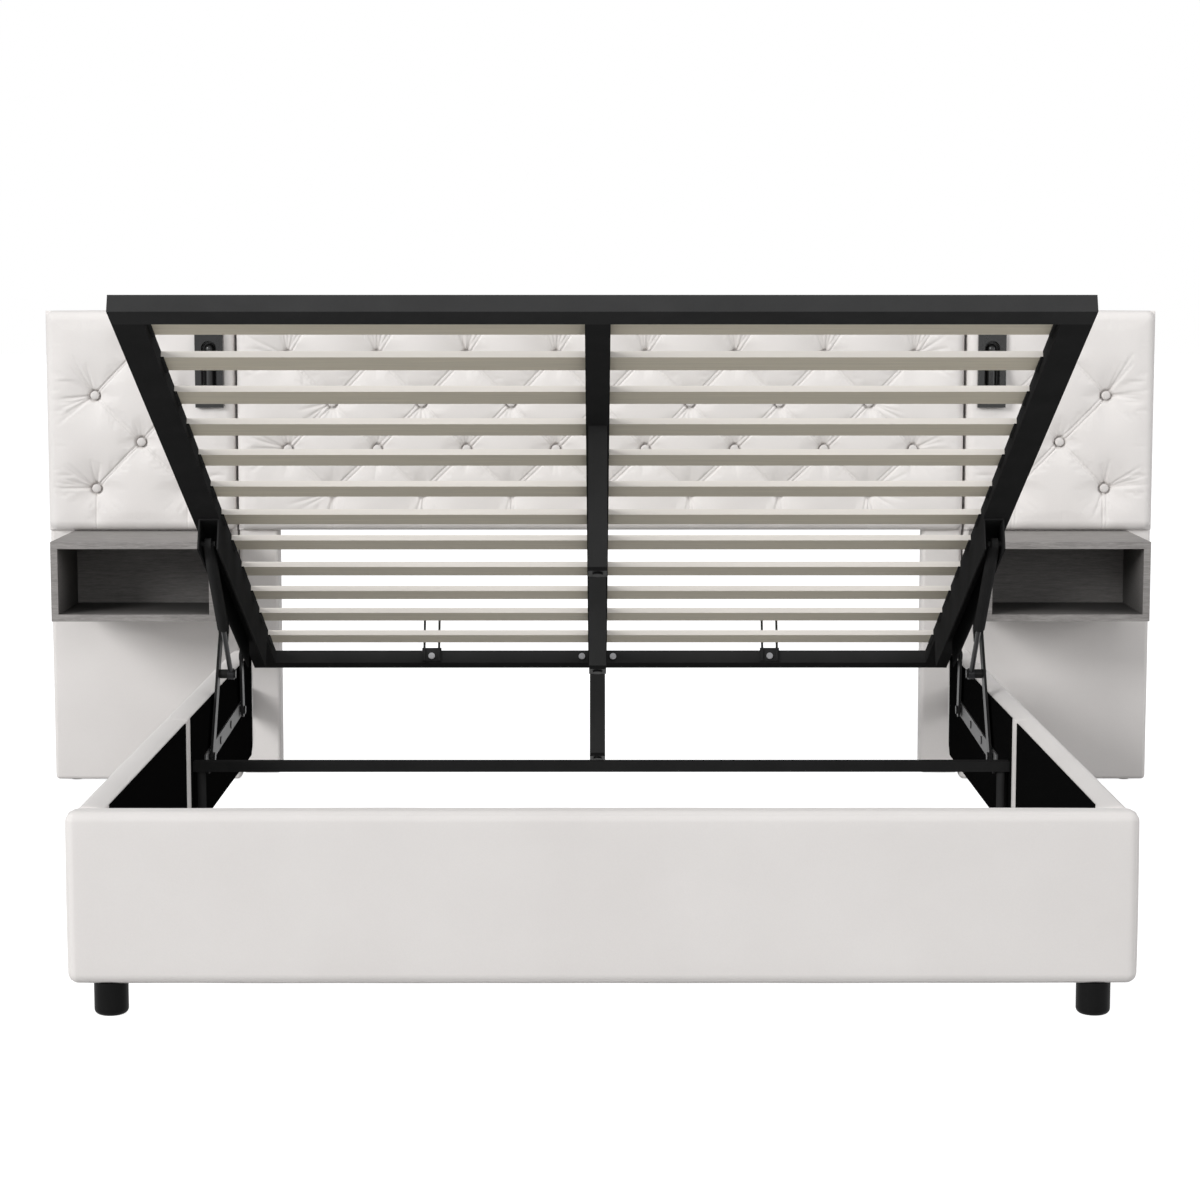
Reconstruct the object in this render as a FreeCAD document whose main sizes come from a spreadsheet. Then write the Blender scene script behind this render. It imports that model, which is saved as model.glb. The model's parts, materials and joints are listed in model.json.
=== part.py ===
import FreeCAD, Part
import os
import re

# Upholstered storage bed with a raised lift-up slat frame.
# Millimetres. X to the right as seen from the foot, Y towards the headboard, Z up.
# The rest pose is the raised pose of the photo.

doc = FreeCAD.newDocument("storage_bed")
sheet = doc.addObject("Spreadsheet::Sheet", "Sheet")

SIZES = [
    # bed box
    ("bed_width", 1640), ("rail_thick", 52), ("bed_top", 320), ("box_length", 2095),
    ("footboard_base", 52), ("rail_base", 95), ("rear_rail_long", 1158), ("wrap_return", 33),
    ("rail_short", 163), ("rail_end_cut", 20), ("tie_low", 60), ("tie_tall", 60),
    ("tie_thick", 12),
    ("cover_thick", 12), ("cover_round", 16), ("rail_round", 20), ("lining_thick", 2), ("lining_drop", 3),
    ("joint_gap", 1), ("foot_radius", 26.5), ("foot_inset_side", 60), ("foot_inset_front", 56),
    ("foot_round", 9), ("joint_plate_long", 220), ("plate_gauge", 3),
    ("corner_leg", 60), ("corner_tall", 130),
    # cross bar under the lift frame
    ("bar_behind_joint", 48), ("bar_deep", 25), ("bar_tall", 19), ("bar_base", 212.5), ("bar_wall", 2),
    ("bar_leg_radius", 8.5), ("bar_leg_inset", 14),
    ("bolt_radius", 3), ("bolt_proud", 5), ("bolt_aside", 13),
    # headboard
    ("headboard_width", 2476), ("headboard_height", 1063), ("headboard_thick", 60),
    ("headboard_lift", 4), ("pad_base", 573), ("pad_thick", 36), ("pad_round", 24),
    ("panel_round", 8), ("wing_reach", 2), ("centre_trim", 7), ("pillar_wide", 87), ("pillar_lift", 18),
    ("glide_radius", 12), ("wing_bracket_wide", 160), ("wing_bracket_tall", 50),
    ("tuft_side", 120), ("tuft_below", 77), ("tuft_above", 99), ("wing_row_lift", 17),
    ("wing_tuft_trim", 5), ("pit_ball", 62), ("pit_deep", 17), ("crease_ball", 15),
    ("crease_deep", 7), ("button_radius", 10), ("button_long", 9), ("button_clear", 0.5),
    ("button_seat", 5),
    # shelves on the wings
    ("shelf_wide", 355), ("shelf_inset", 11), ("shelf_deep", 290), ("shelf_tall", 172),
    ("shelf_clear", 2), ("board", 15), ("shelf_back_inset", 40), ("cleat_tall", 60),
    # reading lamps
    ("lamp_inset", 53), ("lamp_below_top", 49), ("lamp_tall", 165), ("lamp_wide", 62),
    ("lamp_proud", 5), ("lamp_seat", 36), ("recess_wide", 34), ("recess_tall", 131),
    ("recess_deep", 30), ("tube_radius", 11), ("tube_long", 118), ("lamp_pin_radius", 3),
    ("turn_clear", 0.3),
    # lift frame
    ("frame_sides", 60), ("frame_ends", 118), ("beam_tall", 28), ("beam_wide", 50),
    ("rear_beam_wide", 40), ("beam_wall", 2), ("centre_wide", 40), ("centre_shift", 7), ("slat_wide", 55),
    ("slat_thick", 11), ("slat_first", 104), ("slat_last", 166), ("cap_long", 5),
    ("cap_wall", 3), ("leg_size", 32), ("leg_long", 252), ("leg_wall", 2),
    ("leg_first", 504), ("leg_second_shift", 32.5), ("leg_third_back", 218), ("foot_cap_tall", 7),
    ("foot_screw_tall", 3), ("foot_screw_radius", 9), ("stop_offset", 369), ("stop_wide", 32),
    ("stop_tall", 85), ("wire_radius", 2.5), ("stop_plate_wide", 42), ("stop_plate_low", 3),
    ("stop_plate_over", 5),
    ("frame_bolt_radius", 7), ("frame_bolt_proud", 4), ("centre_bolt_offset", 34),
    # lift linkage, both sides alike
    ("lift_angle", 23.74), ("front_pivot_back", 899), ("front_pivot_z", 206),
    ("front_arm_long", 277.544), ("front_arm_angle", 56.167), ("front_lug_back", 570.976),
    ("front_lug_drop", 85), ("rear_pivot_back", 419), ("rear_pivot_z", 226),
    ("rear_lug_back", 249.551), ("rear_lug_drop", 46), ("strut_on_arm", 180),
    ("strut_top_back", 977), ("strut_top_drop", 40), ("arm_wide", 30), ("arm_thick", 5),
    ("arm_gap", 2.5), ("pin_radius", 6), ("pin_head_radius", 9), ("plate_ahead", 56),
    ("plate_behind", 64), ("lower_plate_tall", 30),
    ("plate_screw_radius", 8), ("plate_screw_proud", 2), ("channel_front_back", 1005),
    ("channel_rear_back", 212), ("channel_wide", 39), ("channel_drop", 60), ("channel_gauge", 3),
    ("lug_half", 24), ("arm_layer", 6.5), ("strut_in", 28), ("cylinder_radius", 11),
    ("cylinder_long", 262), ("rod_radius", 5), ("eye_radius", 11), ("eye_wide", 12),
    ("rod_clear", 0.3), ("cylinder_bore_deep", 240), ("rod_long", 195),
    ("pin_head_thick", 3), ("pin_play", 0.5), ("lug_below", 18), ("end_pin_radius", 5),
    ("end_pin_half", 13),
]
NAMES = [name for name, _ in SIZES]


def tie(text):
    """Sheet.NAME for every named value in an expression."""
    def swap(found):
        word = found.group(0)
        return "Sheet." + word if word in NAMES else word

    return re.sub(r"[a-z][a-z_]+", swap, text)


def add_value(name, value):
    row = len(placed) + 1
    sheet.set("A%d" % row, name)
    sheet.set("B%d" % row, value)
    sheet.setAlias("B%d" % row, name)
    placed.append(name)


placed = []
for size_name, size in SIZES:
    add_value(size_name, repr(size))

# Values worked out from the sizes above, named so that each is written once.
DERIVED = [
    ("half_bed", "bed_width/2"),
    ("rail_in", "half_bed-rail_thick"),
    ("middle", "(box_length+headboard_thick+plate_gauge)/2"),
    ("foot_front", "-middle"),
    ("head_front", "box_length-middle"),
    ("head_back", "head_front+headboard_thick"),
    ("half_head", "headboard_width/2"),
    ("rail_joint", "box_length-rear_rail_long"),
    ("rail_end", "head_front-rail_short"),
    ("bar_front", "rail_joint+bar_behind_joint"),
    ("half_panel", "half_bed-centre_trim"),
    ("wing_in", "half_bed-wing_reach"),
    ("tuft_pitch", "(half_bed-tuft_side)/3.5"),
    ("tuft_row_low", "pad_base+tuft_below"),
    ("tuft_row_step", "(headboard_height-tuft_above-tuft_row_low)/3"),
    ("wing_row_low", "tuft_row_low+wing_row_lift"),
    ("wing_tuft_half", "(half_head-wing_in)/4-wing_tuft_trim"),
    ("shelf_high", "pad_base-shelf_clear"),
    ("shelf_low", "shelf_high-shelf_tall"),
    ("shelf_inner", "wing_in+shelf_inset"),
    ("shelf_outer", "shelf_inner+shelf_wide"),
    ("lamp_centre", "wing_in+lamp_inset"),
    ("lamp_low", "headboard_height-lamp_below_top-lamp_tall"),
    ("wing_centre", "(wing_in+half_head)/2"),
    ("pad_front", "head_front-pad_thick"),
    ("half_frame", "half_bed-frame_sides"),
    ("frame_length", "box_length-frame_ends"),
    ("slat_step", "(frame_length-slat_first-slat_last)/11"),
    ("leg_third", "frame_length-leg_third_back"),
    ("leg_second", "(leg_first+leg_third)/2-leg_second_shift"),
    ("front_pivot_y", "box_length-front_pivot_back"),
    ("rear_pivot_y", "box_length-rear_pivot_back"),
    ("front_lug_s", "frame_length-front_lug_back"),
    ("rear_lug_s", "frame_length-rear_lug_back"),
    ("strut_top_s", "frame_length-strut_top_back"),
    ("channel_front", "frame_length-channel_front_back"),
    ("channel_rear", "frame_length-channel_rear_back"),
    ("pivot_run", "rear_pivot_y-front_pivot_y"),
    ("pivot_rise", "rear_pivot_z-front_pivot_z"),
    ("pivot_span", "sqrt(pivot_run*pivot_run+pivot_rise*pivot_rise)"),
    ("lining_face", "rail_in-lining_thick"),
    ("plate_in", "lining_face-plate_gauge"),
    ("arm_out", "plate_in-arm_gap"),
    ("arm_in", "arm_out-arm_thick"),
    ("channel_out", "arm_in-arm_layer"),
    ("channel_in", "channel_out-channel_wide"),
    ("strut_x", "arm_out-strut_in"),
    ("lug_y", "front_pivot_y+front_arm_long*cos(front_arm_angle*1deg)-middle"),
    ("lug_z", "front_pivot_z+front_arm_long*sin(front_arm_angle*1deg)"),
    ("frame_y", "lug_y-front_lug_s*cos(lift_angle*1deg)+front_lug_drop*sin(lift_angle*1deg)"),
    ("frame_z", "lug_z+front_lug_s*sin(lift_angle*1deg)+front_lug_drop*cos(lift_angle*1deg)"),
    ("rear_lug_y", "frame_y+rear_lug_s*cos(lift_angle*1deg)-rear_lug_drop*sin(lift_angle*1deg)"),
    ("rear_lug_z", "frame_z-rear_lug_s*sin(lift_angle*1deg)-rear_lug_drop*cos(lift_angle*1deg)"),
    ("rear_run", "rear_lug_y-(rear_pivot_y-middle)"),
    ("rear_rise", "rear_lug_z-rear_pivot_z"),
    ("rear_arm_long", "sqrt(rear_run*rear_run+rear_rise*rear_rise)"),
    ("strut_y", "front_pivot_y-middle+strut_on_arm*cos(front_arm_angle*1deg)"),
    ("strut_z", "front_pivot_z+strut_on_arm*sin(front_arm_angle*1deg)"),
    ("strut_top_y", "frame_y+strut_top_s*cos(lift_angle*1deg)-strut_top_drop*sin(lift_angle*1deg)"),
    ("strut_top_z", "frame_z-strut_top_s*sin(lift_angle*1deg)-strut_top_drop*cos(lift_angle*1deg)"),
    ("strut_run", "strut_top_y-strut_y"),
    ("strut_rise", "strut_top_z-strut_z"),
    ("strut_long", "sqrt(strut_run*strut_run+strut_rise*strut_rise)"),
    ("beam_in", "half_frame-beam_wide"),
    ("centre_left", "-centre_wide/2-centre_shift"),
    ("centre_right", "centre_wide/2-centre_shift"),
    ("slat_base", "beam_tall-slat_thick"),
]
for derived_name, formula in DERIVED:
    NAMES.append(derived_name)
for derived_name, formula in DERIVED:
    add_value(derived_name, "=" + re.sub(r"Sheet\.", "", formula))
doc.recompute()

count = [0]


def fresh(kind, hint):
    count[0] += 1
    return doc.addObject(kind, "%s_%d" % (hint, count[0]))


def place(item, x="0", y="0", z="0"):
    for axis, text in (("x", x), ("y", y), ("z", z)):
        item.setExpression("Placement.Base." + axis, tie(text))
    return item


def turn(item, axis, angle):
    """Rotation about one axis, by an angle expression in degrees."""
    item.Placement = FreeCAD.Placement(item.Placement.Base, FreeCAD.Rotation(FreeCAD.Vector(*axis), 1))
    item.setExpression("Placement.Rotation.Angle", tie(angle))
    return item


def box(x0, x1, y0, y1, z0, z1):
    item = fresh("Part::Box", "box")
    item.setExpression("Length", tie("(%s)-(%s)" % (x1, x0)))
    item.setExpression("Width", tie("(%s)-(%s)" % (y1, y0)))
    item.setExpression("Height", tie("(%s)-(%s)" % (z1, z0)))
    return place(item, x0, y0, z0)


AXES = {"x": (0, 1, 0, "90"), "y": (1, 0, 0, "-90"), "z": (0, 0, 1, "0")}


def rod(radius, long, axis, x, y, z):
    """Cylinder from (x, y, z) along +X, +Y or +Z."""
    item = fresh("Part::Cylinder", "rod")
    item.setExpression("Radius", tie(radius))
    item.setExpression("Height", tie(long))
    place(item, x, y, z)
    if axis != "z":
        ax = AXES[axis]
        turn(item, ax[:3], ax[3])
    return item


def fuse(*items):
    if len(items) == 1:
        return items[0]
    item = fresh("Part::MultiFuse", "fuse")
    item.Shapes = list(items)
    item.Refine = True
    return item


def cut(base, *tools):
    item = fresh("Part::Cut", "cut")
    item.Base = base
    item.Tool = fuse(*tools)
    item.Refine = True
    return item


def group(*items):
    item = fresh("Part::Compound", "group")
    item.Links = list(items)
    return item


def mirror(source):
    item = fresh("Part::Mirroring", "mirror")
    item.Source = source
    item.Base = FreeCAD.Vector(0, 0, 0)
    item.Normal = FreeCAD.Vector(1, 0, 0)
    return item


def both(item):
    return group(item, mirror(item))


def rounded(item, radius, pick, kind="Part::Fillet"):
    """Fillet or chamfer on the edges that pick(edge) accepts, with a size from the sheet."""
    doc.recompute()
    edges = [i + 1 for i, e in enumerate(item.Shape.Edges) if pick(e)]
    size = sheet.get(radius)
    out = fresh(kind, "round")
    out.Base = item
    out.Edges = [(i, size, size) for i in edges]
    return out


def along(edge, axis):
    start, end = edge.Vertexes[0].Point, edge.Vertexes[-1].Point
    step = end - start
    return abs(getattr(step, axis)) > 0.99 * step.Length > 0


def all_at(edge, axis, value):
    return all(abs(getattr(v.Point, axis) - value) < 0.01 for v in edge.Vertexes)


nodes = {}


def node(name, item):
    item.Label = name
    nodes[name] = item
    return item


# Lift frame, drawn flat with its front lower edge at the origin and then tilted into place.
def raise_frame(item):
    place(item, "0", "frame_y", "frame_z")
    return turn(item, (1, 0, 0), "-lift_angle")


# Footboard and side rails: a board, a wrapped cover and a black lining inside.
inset = "cover_thick"
node("footboard_core", box(
    "-half_bed+%s" % inset, "half_bed-%s" % inset, "foot_front+%s" % inset,
    "foot_front+rail_thick-%s" % inset, "footboard_base+%s" % inset, "bed_top-%s" % inset))
foot_skin = box("-half_bed", "half_bed", "foot_front", "foot_front+rail_thick", "footboard_base", "bed_top")
foot_skin = rounded(foot_skin, "cover_round", lambda e: True)
foot_hole = box(
    "-half_bed+%s" % inset, "half_bed-%s" % inset, "foot_front+%s" % inset,
    "foot_front+rail_thick-%s" % inset, "footboard_base+%s" % inset, "bed_top-%s" % inset)
node("footboard_cover", cut(foot_skin, foot_hole))
foot_inner = "foot_front+rail_thick"
node("footboard_lining", box(
    "-rail_in+wrap_return", "rail_in-wrap_return", foot_inner, foot_inner + "+lining_thick",
    "footboard_base+wrap_return", "bed_top-cover_round"))

RAIL_SPANS = [("front", foot_inner + "+joint_gap", "rail_joint-middle-joint_gap/2"),
              ("rear", "rail_joint-middle+joint_gap/2", "rail_end")]


def bevelled(item, end):
    """Lower corner at the rail's head end cut off."""
    def corner(edge):
        low = all_at(edge, "z", sheet.get("rail_base"))
        return low and all_at(edge, "y", end) and along(edge, "x")

    return rounded(item, "rail_end_cut", corner, "Part::Chamfer")


def outer_edges(edge):
    return all_at(edge, "x", sheet.get("half_bed")) and along(edge, "y")


cores = []
linings = []
for part_name, near, far in RAIL_SPANS:
    core = box("rail_in+%s" % inset, "half_bed-%s" % inset, near + "+" + inset, far + "-" + inset,
               "rail_base+%s" % inset, "bed_top-%s" % inset)
    hole = box("rail_in+%s" % inset, "half_bed-%s" % inset, near + "+" + inset, far + "-" + inset,
               "rail_base+%s" % inset, "bed_top-%s" % inset)
    skin = box("rail_in", "half_bed", near, far, "rail_base", "bed_top")
    lining = box("rail_in-lining_thick", "rail_in", near + "+wrap_return", far + "-wrap_return",
                 "rail_base", "bed_top-lining_drop")
    if part_name == "rear":
        skin = bevelled(skin, sheet.get("rail_end"))
        lining = bevelled(lining, sheet.get("rail_end") - sheet.get("wrap_return"))
    skin = rounded(skin, "rail_round", outer_edges)
    skin = cut(skin, hole)
    node("rail_cover_%s_right" % part_name, skin)
    node("rail_cover_%s_left" % part_name, mirror(skin))
    cores.append(core)
    linings.append(lining)
node("rail_cores", both(group(*cores)))
node("rail_linings", both(group(*linings)))

# A steel strap under each rail joint.
mid = "rail_joint-middle"
node("rail_joint_plates", both(box(
    "rail_in+cover_round", "half_bed-cover_round", mid + "-joint_plate_long/2", mid + "+joint_plate_long/2",
    "rail_base-plate_gauge", "rail_base")))
front_in = foot_inner + "+lining_thick"
corner_z = "rail_base+cover_round"
corner = fuse(
    box("rail_in-corner_leg", "rail_in-lining_thick", front_in, front_in + "+plate_gauge",
        corner_z, corner_z + "+corner_tall"),
    box("rail_in-lining_thick-plate_gauge", "rail_in-lining_thick", front_in, front_in + "+corner_leg",
        corner_z, corner_z + "+corner_tall"))
# The rails stop short of the headboard, and a steel bar behind each joins the two.
tie_bar = box("half_bed-cover_round-tie_thick", "half_bed-cover_round", "rail_end", "head_front",
              "rail_base+tie_low", "rail_base+tie_low+tie_tall")
node("corner_brackets", both(group(corner, tie_bar)))
foot = rod("foot_radius", "footboard_base", "z", "half_bed-foot_inset_side",
           "foot_front+foot_inset_front-rail_thick/2", "0")
foot = rounded(foot, "foot_round", lambda e: all_at(e, "z", 0) and not along(e, "z"))
node("front_feet", both(foot))

# Cross bar between the rails, with a tube leg at each end.
bar_back = "bar_front-middle+bar_deep"
bar_top = "bar_base+bar_tall"
bar = box("-lining_face", "lining_face", "bar_front-middle", bar_back, "bar_base", bar_top)
bar_bore = box("-lining_face", "lining_face", "bar_front-middle+bar_wall", bar_back + "-bar_wall",
               "bar_base+bar_wall", bar_top + "-bar_wall")
node("crossbar", cut(bar, bar_bore))
bar_mid = "bar_front-middle+bar_deep/2"
leg_x = "lining_face-bar_leg_inset"
node("crossbar_legs", both(rod("bar_leg_radius", "bar_base", "z", leg_x, bar_mid, "0")))
node("crossbar_bolts", both(rod("bolt_radius", "bolt_proud", "z", leg_x + "-bolt_aside", bar_mid,
                                "bar_base-bolt_proud")))

# Headboard: centre panel on two pillars, and a wing on each side down to the floor.
centre = box("-half_panel", "half_panel", "head_front", "head_back", "pad_base", "headboard_height")
pillar = box("half_panel-pillar_wide", "half_panel", "head_front", "head_back", "pillar_lift", "pad_base")
centre_frame = fuse(centre, both(pillar))
node("headboard_centre_frame", centre_frame)
wing = box("wing_in", "half_head", "head_front", "head_back", "headboard_lift", "headboard_height")


def outer_or_top(edge):
    return all_at(edge, "x", sheet.get("half_head")) or all_at(edge, "z", sheet.get("headboard_height"))


wing = rounded(wing, "panel_round", outer_or_top)


def creases(points, span_x, span_z, front):
    """Round-bottomed grooves along both diagonals, through each point."""
    out = []
    for px, pz in points:
        for side in (1, -1):
            bar_item = fresh("Part::Cylinder", "crease")
            bar_item.setExpression("Radius", tie("crease_ball"))
            slant = "sqrt((%s)*(%s)+(%s)*(%s))" % (span_x, span_x, span_z, span_z)
            bar_item.setExpression("Height", tie(slant))
            place(bar_item, px, front + "-crease_ball+crease_deep", pz)
            turn(bar_item, (0, 1, 0), "%d*atan2(%s; %s)" % (side, span_x, span_z))
            out.append(bar_item)
    return out


def tufted(pad, points, groove_points, extra, span_x, span_z):
    """Pad with a pit, a button seat and grooves at each sewn point."""
    pits = []
    seats = []
    buttons = []
    for px, pz in points:
        ball = fresh("Part::Sphere", "pit")
        ball.setExpression("Radius", tie("pit_ball"))
        place(ball, px, "pad_front-pit_ball+pit_deep", pz)
        pits.append(ball)
        seats.append(rod("button_radius+button_clear", "pad_thick", "y", px,
                         "pad_front+pit_deep+button_seat-pad_thick", pz))
        button_y = "pad_front+pit_deep+button_seat-button_long"
        button = rod("button_radius", "button_long", "y", px, button_y, pz)
        buttons.append(button)
    grooves = creases(groove_points, span_x, span_z, "pad_front")
    return cut(pad, *(pits + seats + grooves + extra)), group(*buttons)


def at(x_text, z_text):
    return ("(%s)" % x_text, "(%s)" % z_text)


pad = box("-half_panel", "half_panel", "pad_front", "head_front", "pad_base", "headboard_height")
pad = rounded(pad, "pad_round", lambda e: all_at(e, "y", sheet.get("pad_front")))
points = []
groove_points = []
fall = []
for row in range(4):
    z_text = "tuft_row_low+%d*tuft_row_step" % row
    xs = [i for i in range(-3, 4)] if row % 2 == 0 else [i + 0.5 for i in range(-4, 4)]
    for i in xs:
        points.append(at("%s*tuft_pitch" % i, z_text))
        if row < 3:
            groove_points.append(at("%s*tuft_pitch" % i, z_text))
for i in range(-3, 4):
    fall.append(rod("crease_ball", "tuft_row_low-pad_base+crease_ball", "z", "%d*tuft_pitch" % i,
                    "pad_front-crease_ball+crease_deep", "pad_base-crease_ball"))
for i in range(-4, 4):
    fall.append(rod("crease_ball", "headboard_height-tuft_row_low-3*tuft_row_step+crease_ball", "z",
                    "%s*tuft_pitch" % (i + 0.5), "pad_front-crease_ball+crease_deep",
                    "tuft_row_low+3*tuft_row_step"))
centre_pad, centre_buttons = tufted(pad, points, groove_points, fall, "tuft_pitch/2", "tuft_row_step")
node("headboard_centre_pad", centre_pad)
node("centre_buttons", centre_buttons)

wing_pad = box("wing_in", "half_head", "pad_front", "head_front", "pad_base", "headboard_height")
wing_pad = rounded(wing_pad, "pad_round", lambda e: all_at(e, "y", sheet.get("pad_front")))
lamp_x = "lamp_centre-lamp_wide/2"
lamp_face = "pad_front-lamp_proud"
lamp_back = lamp_face + "+lamp_seat"
lamp_hole = box(lamp_x, lamp_x + "+lamp_wide", "pad_front-lamp_seat", lamp_back,
                "lamp_low", "lamp_low+lamp_tall")
wing_points = [at("wing_centre", "wing_row_low+tuft_row_step"),
               at("wing_centre", "wing_row_low+3*tuft_row_step")]
for side in ("-", "+"):
    wing_points.append(at("wing_centre%swing_tuft_half" % side, "wing_row_low"))
    wing_points.append(at("wing_centre%swing_tuft_half" % side, "wing_row_low+2*tuft_row_step"))
wing_grooves = [at("wing_centre", "wing_row_low+tuft_row_step")]
wing_falls = []
for side in ("-", "+"):
    x_text = "wing_centre%swing_tuft_half" % side
    wing_grooves.append(at(x_text, "wing_row_low"))
    wing_grooves.append(at(x_text, "wing_row_low+2*tuft_row_step"))
    wing_falls.append(rod("crease_ball", "wing_row_low-pad_base+crease_ball", "z", x_text,
                          "pad_front-crease_ball+crease_deep", "pad_base-crease_ball"))
wing_falls.append(rod("crease_ball", "headboard_height-wing_row_low-3*tuft_row_step+crease_ball", "z",
                      "wing_centre", "pad_front-crease_ball+crease_deep", "wing_row_low+3*tuft_row_step"))
wing_pad, wing_buttons = tufted(wing_pad, wing_points, wing_grooves, wing_falls + [lamp_hole],
                                "wing_tuft_half", "tuft_row_step")
node("wing_pad_right", wing_pad)
node("wing_pad_left", mirror(wing_pad))
node("wing_buttons", both(wing_buttons))
node("wing_frame_right", wing)
node("wing_frame_left", mirror(wing))
bracket_z = "pad_base-wing_bracket_tall"
node("wing_brackets", both(group(*[
    box("half_bed-wing_bracket_wide/2", "half_bed+wing_bracket_wide/2",
        "head_back", "head_back+plate_gauge", z_text, z_text + "+wing_bracket_tall")
    for z_text in ("headboard_height-2*wing_bracket_tall", bracket_z)])))
glide_y = "(head_front+head_back)/2"
node("headboard_glides", both(group(
    rod("glide_radius", "headboard_lift", "z", "wing_in+pillar_wide/2", glide_y, "0"),
    rod("glide_radius", "headboard_lift", "z", "half_head-pillar_wide/2", glide_y, "0"))))

# Open box shelf on each wing.
shelf_front = "head_front-shelf_deep"
shelf_top = box("shelf_inner", "shelf_outer", shelf_front, "head_front", "shelf_high-board", "shelf_high")
shelf_bottom = box("shelf_inner", "shelf_outer", shelf_front, "head_front", "shelf_low", "shelf_low+board")
side_low = "shelf_low+board"
side_high = "shelf_high-board"
shelf_sides = group(
    box("shelf_inner", "shelf_inner+board", shelf_front, "head_front", side_low, side_high),
    box("shelf_outer-board", "shelf_outer", shelf_front, "head_front", side_low, side_high))
back_y = "head_front-shelf_back_inset"
shelf_back = box("shelf_inner+board", "shelf_outer-board", back_y + "-board", back_y, side_low, side_high)
for base_name, item in (("shelf_top", shelf_top), ("shelf_bottom", shelf_bottom),
                        ("shelf_sides", shelf_sides), ("shelf_back", shelf_back)):
    node(base_name + "_right", item)
    node(base_name + "_left", mirror(item))
node("shelf_cleats", both(box("shelf_inner+board", "shelf_outer-board", back_y, "head_front",
                              side_high + "-cleat_tall", side_high)))

# Reading lamp: plate let into the pad, and a tube that turns out of its recess.
lamp_plate = box(lamp_x, lamp_x + "+lamp_wide", lamp_face, lamp_back, "lamp_low", "lamp_low+lamp_tall")
recess_low = "lamp_low+(lamp_tall-recess_tall)/2"
recess_half = "recess_wide/2"
recess_y = lamp_face + "-lamp_proud"
recess_cut = "recess_deep+lamp_proud"
low_ring = recess_low + "+" + recess_half
high_ring = recess_low + "+recess_tall-" + recess_half
recess = fuse(
    box("lamp_centre-" + recess_half, "lamp_centre+" + recess_half, recess_y, recess_y + "+" + recess_cut,
        low_ring, high_ring),
    rod(recess_half, recess_cut, "y", "lamp_centre", recess_y, low_ring),
    rod(recess_half, recess_cut, "y", "lamp_centre", recess_y, high_ring))
pin_long = "recess_wide+recess_wide/4"
tube_y = lamp_face + "+recess_deep/2"
lamp_pin = ("lamp_pin_radius", pin_long, "x", "lamp_centre-(%s)/2" % pin_long, tube_y, low_ring)
lamp_plate = cut(lamp_plate, recess, rod(*lamp_pin))
node("lamp_plate_right", lamp_plate)
node("lamp_plate_left", mirror(lamp_plate))
node("lamp_pins", both(rod(*lamp_pin)))


def ball(radius, x, y, z):
    item = fresh("Part::Sphere", "ball")
    item.setExpression("Radius", tie(radius))
    return place(item, x, y, z)


tube = fuse(rod("tube_radius", "tube_long-2*tube_radius", "z", "lamp_centre", tube_y, low_ring),
            ball("tube_radius", "lamp_centre", tube_y, low_ring),
            ball("tube_radius", "lamp_centre", tube_y, low_ring + "+tube_long-2*tube_radius"))
pin_hole = rod("lamp_pin_radius+turn_clear", pin_long, "x",
               "lamp_centre-(%s)/2" % pin_long, tube_y, low_ring)
tube = cut(tube, pin_hole)
node("lamp_head_right", tube)
node("lamp_head_left", mirror(tube))

# Lower plates on the rails, with the pivot pins of both arms.
pivot_front_y = "front_pivot_y-middle"
pivot_rear_y = "rear_pivot_y-middle"


def on_plate(item):
    """Seats a piece drawn along +Y from the front pivot on the line through both pivots."""
    place(item, "0", pivot_front_y, "front_pivot_z")
    return turn(item, (1, 0, 0), "atan2(pivot_rise; pivot_run)")


lower_plate = box("plate_in", "lining_face", "-plate_ahead", "pivot_span+plate_behind",
                  "-lower_plate_tall/2", "lower_plate_tall/2")
node("lower_plates", both(on_plate(group(lower_plate))))
screws = []
for share in ("pivot_span/3", "2*pivot_span/3"):
    screws.append(rod("plate_screw_radius", "plate_screw_proud", "x",
                      "plate_in-plate_screw_proud", share, "0"))
node("plate_screws", both(on_plate(group(*screws))))


def headed_pin(y, z):
    """Pivot pin standing on the lower plate, with a head inside the arm."""
    head_x = "arm_in-pin_play-pin_head_thick"
    return fuse(rod("pin_radius", "plate_in-(%s)" % head_x, "x", head_x, y, z),
                rod("pin_head_radius", "pin_head_thick", "x", head_x, y, z))


front_pin = headed_pin(pivot_front_y, "front_pivot_z")
rear_pin = headed_pin(pivot_rear_y, "rear_pivot_z")
node("base_pins", both(group(front_pin, rear_pin)))


def flat_arm(long):
    """Flat bar from its pivot along +Y, round at both ends."""
    return fuse(box("arm_in", "arm_out", "0", long, "-arm_wide/2", "arm_wide/2"),
                rod("arm_wide/2", "arm_thick", "x", "arm_in", "0", "0"),
                rod("arm_wide/2", "arm_thick", "x", "arm_in", long, "0"))


def seat_arm(item, y, z, angle):
    place(item, "0", y, z)
    return turn(item, (1, 0, 0), angle)


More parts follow.
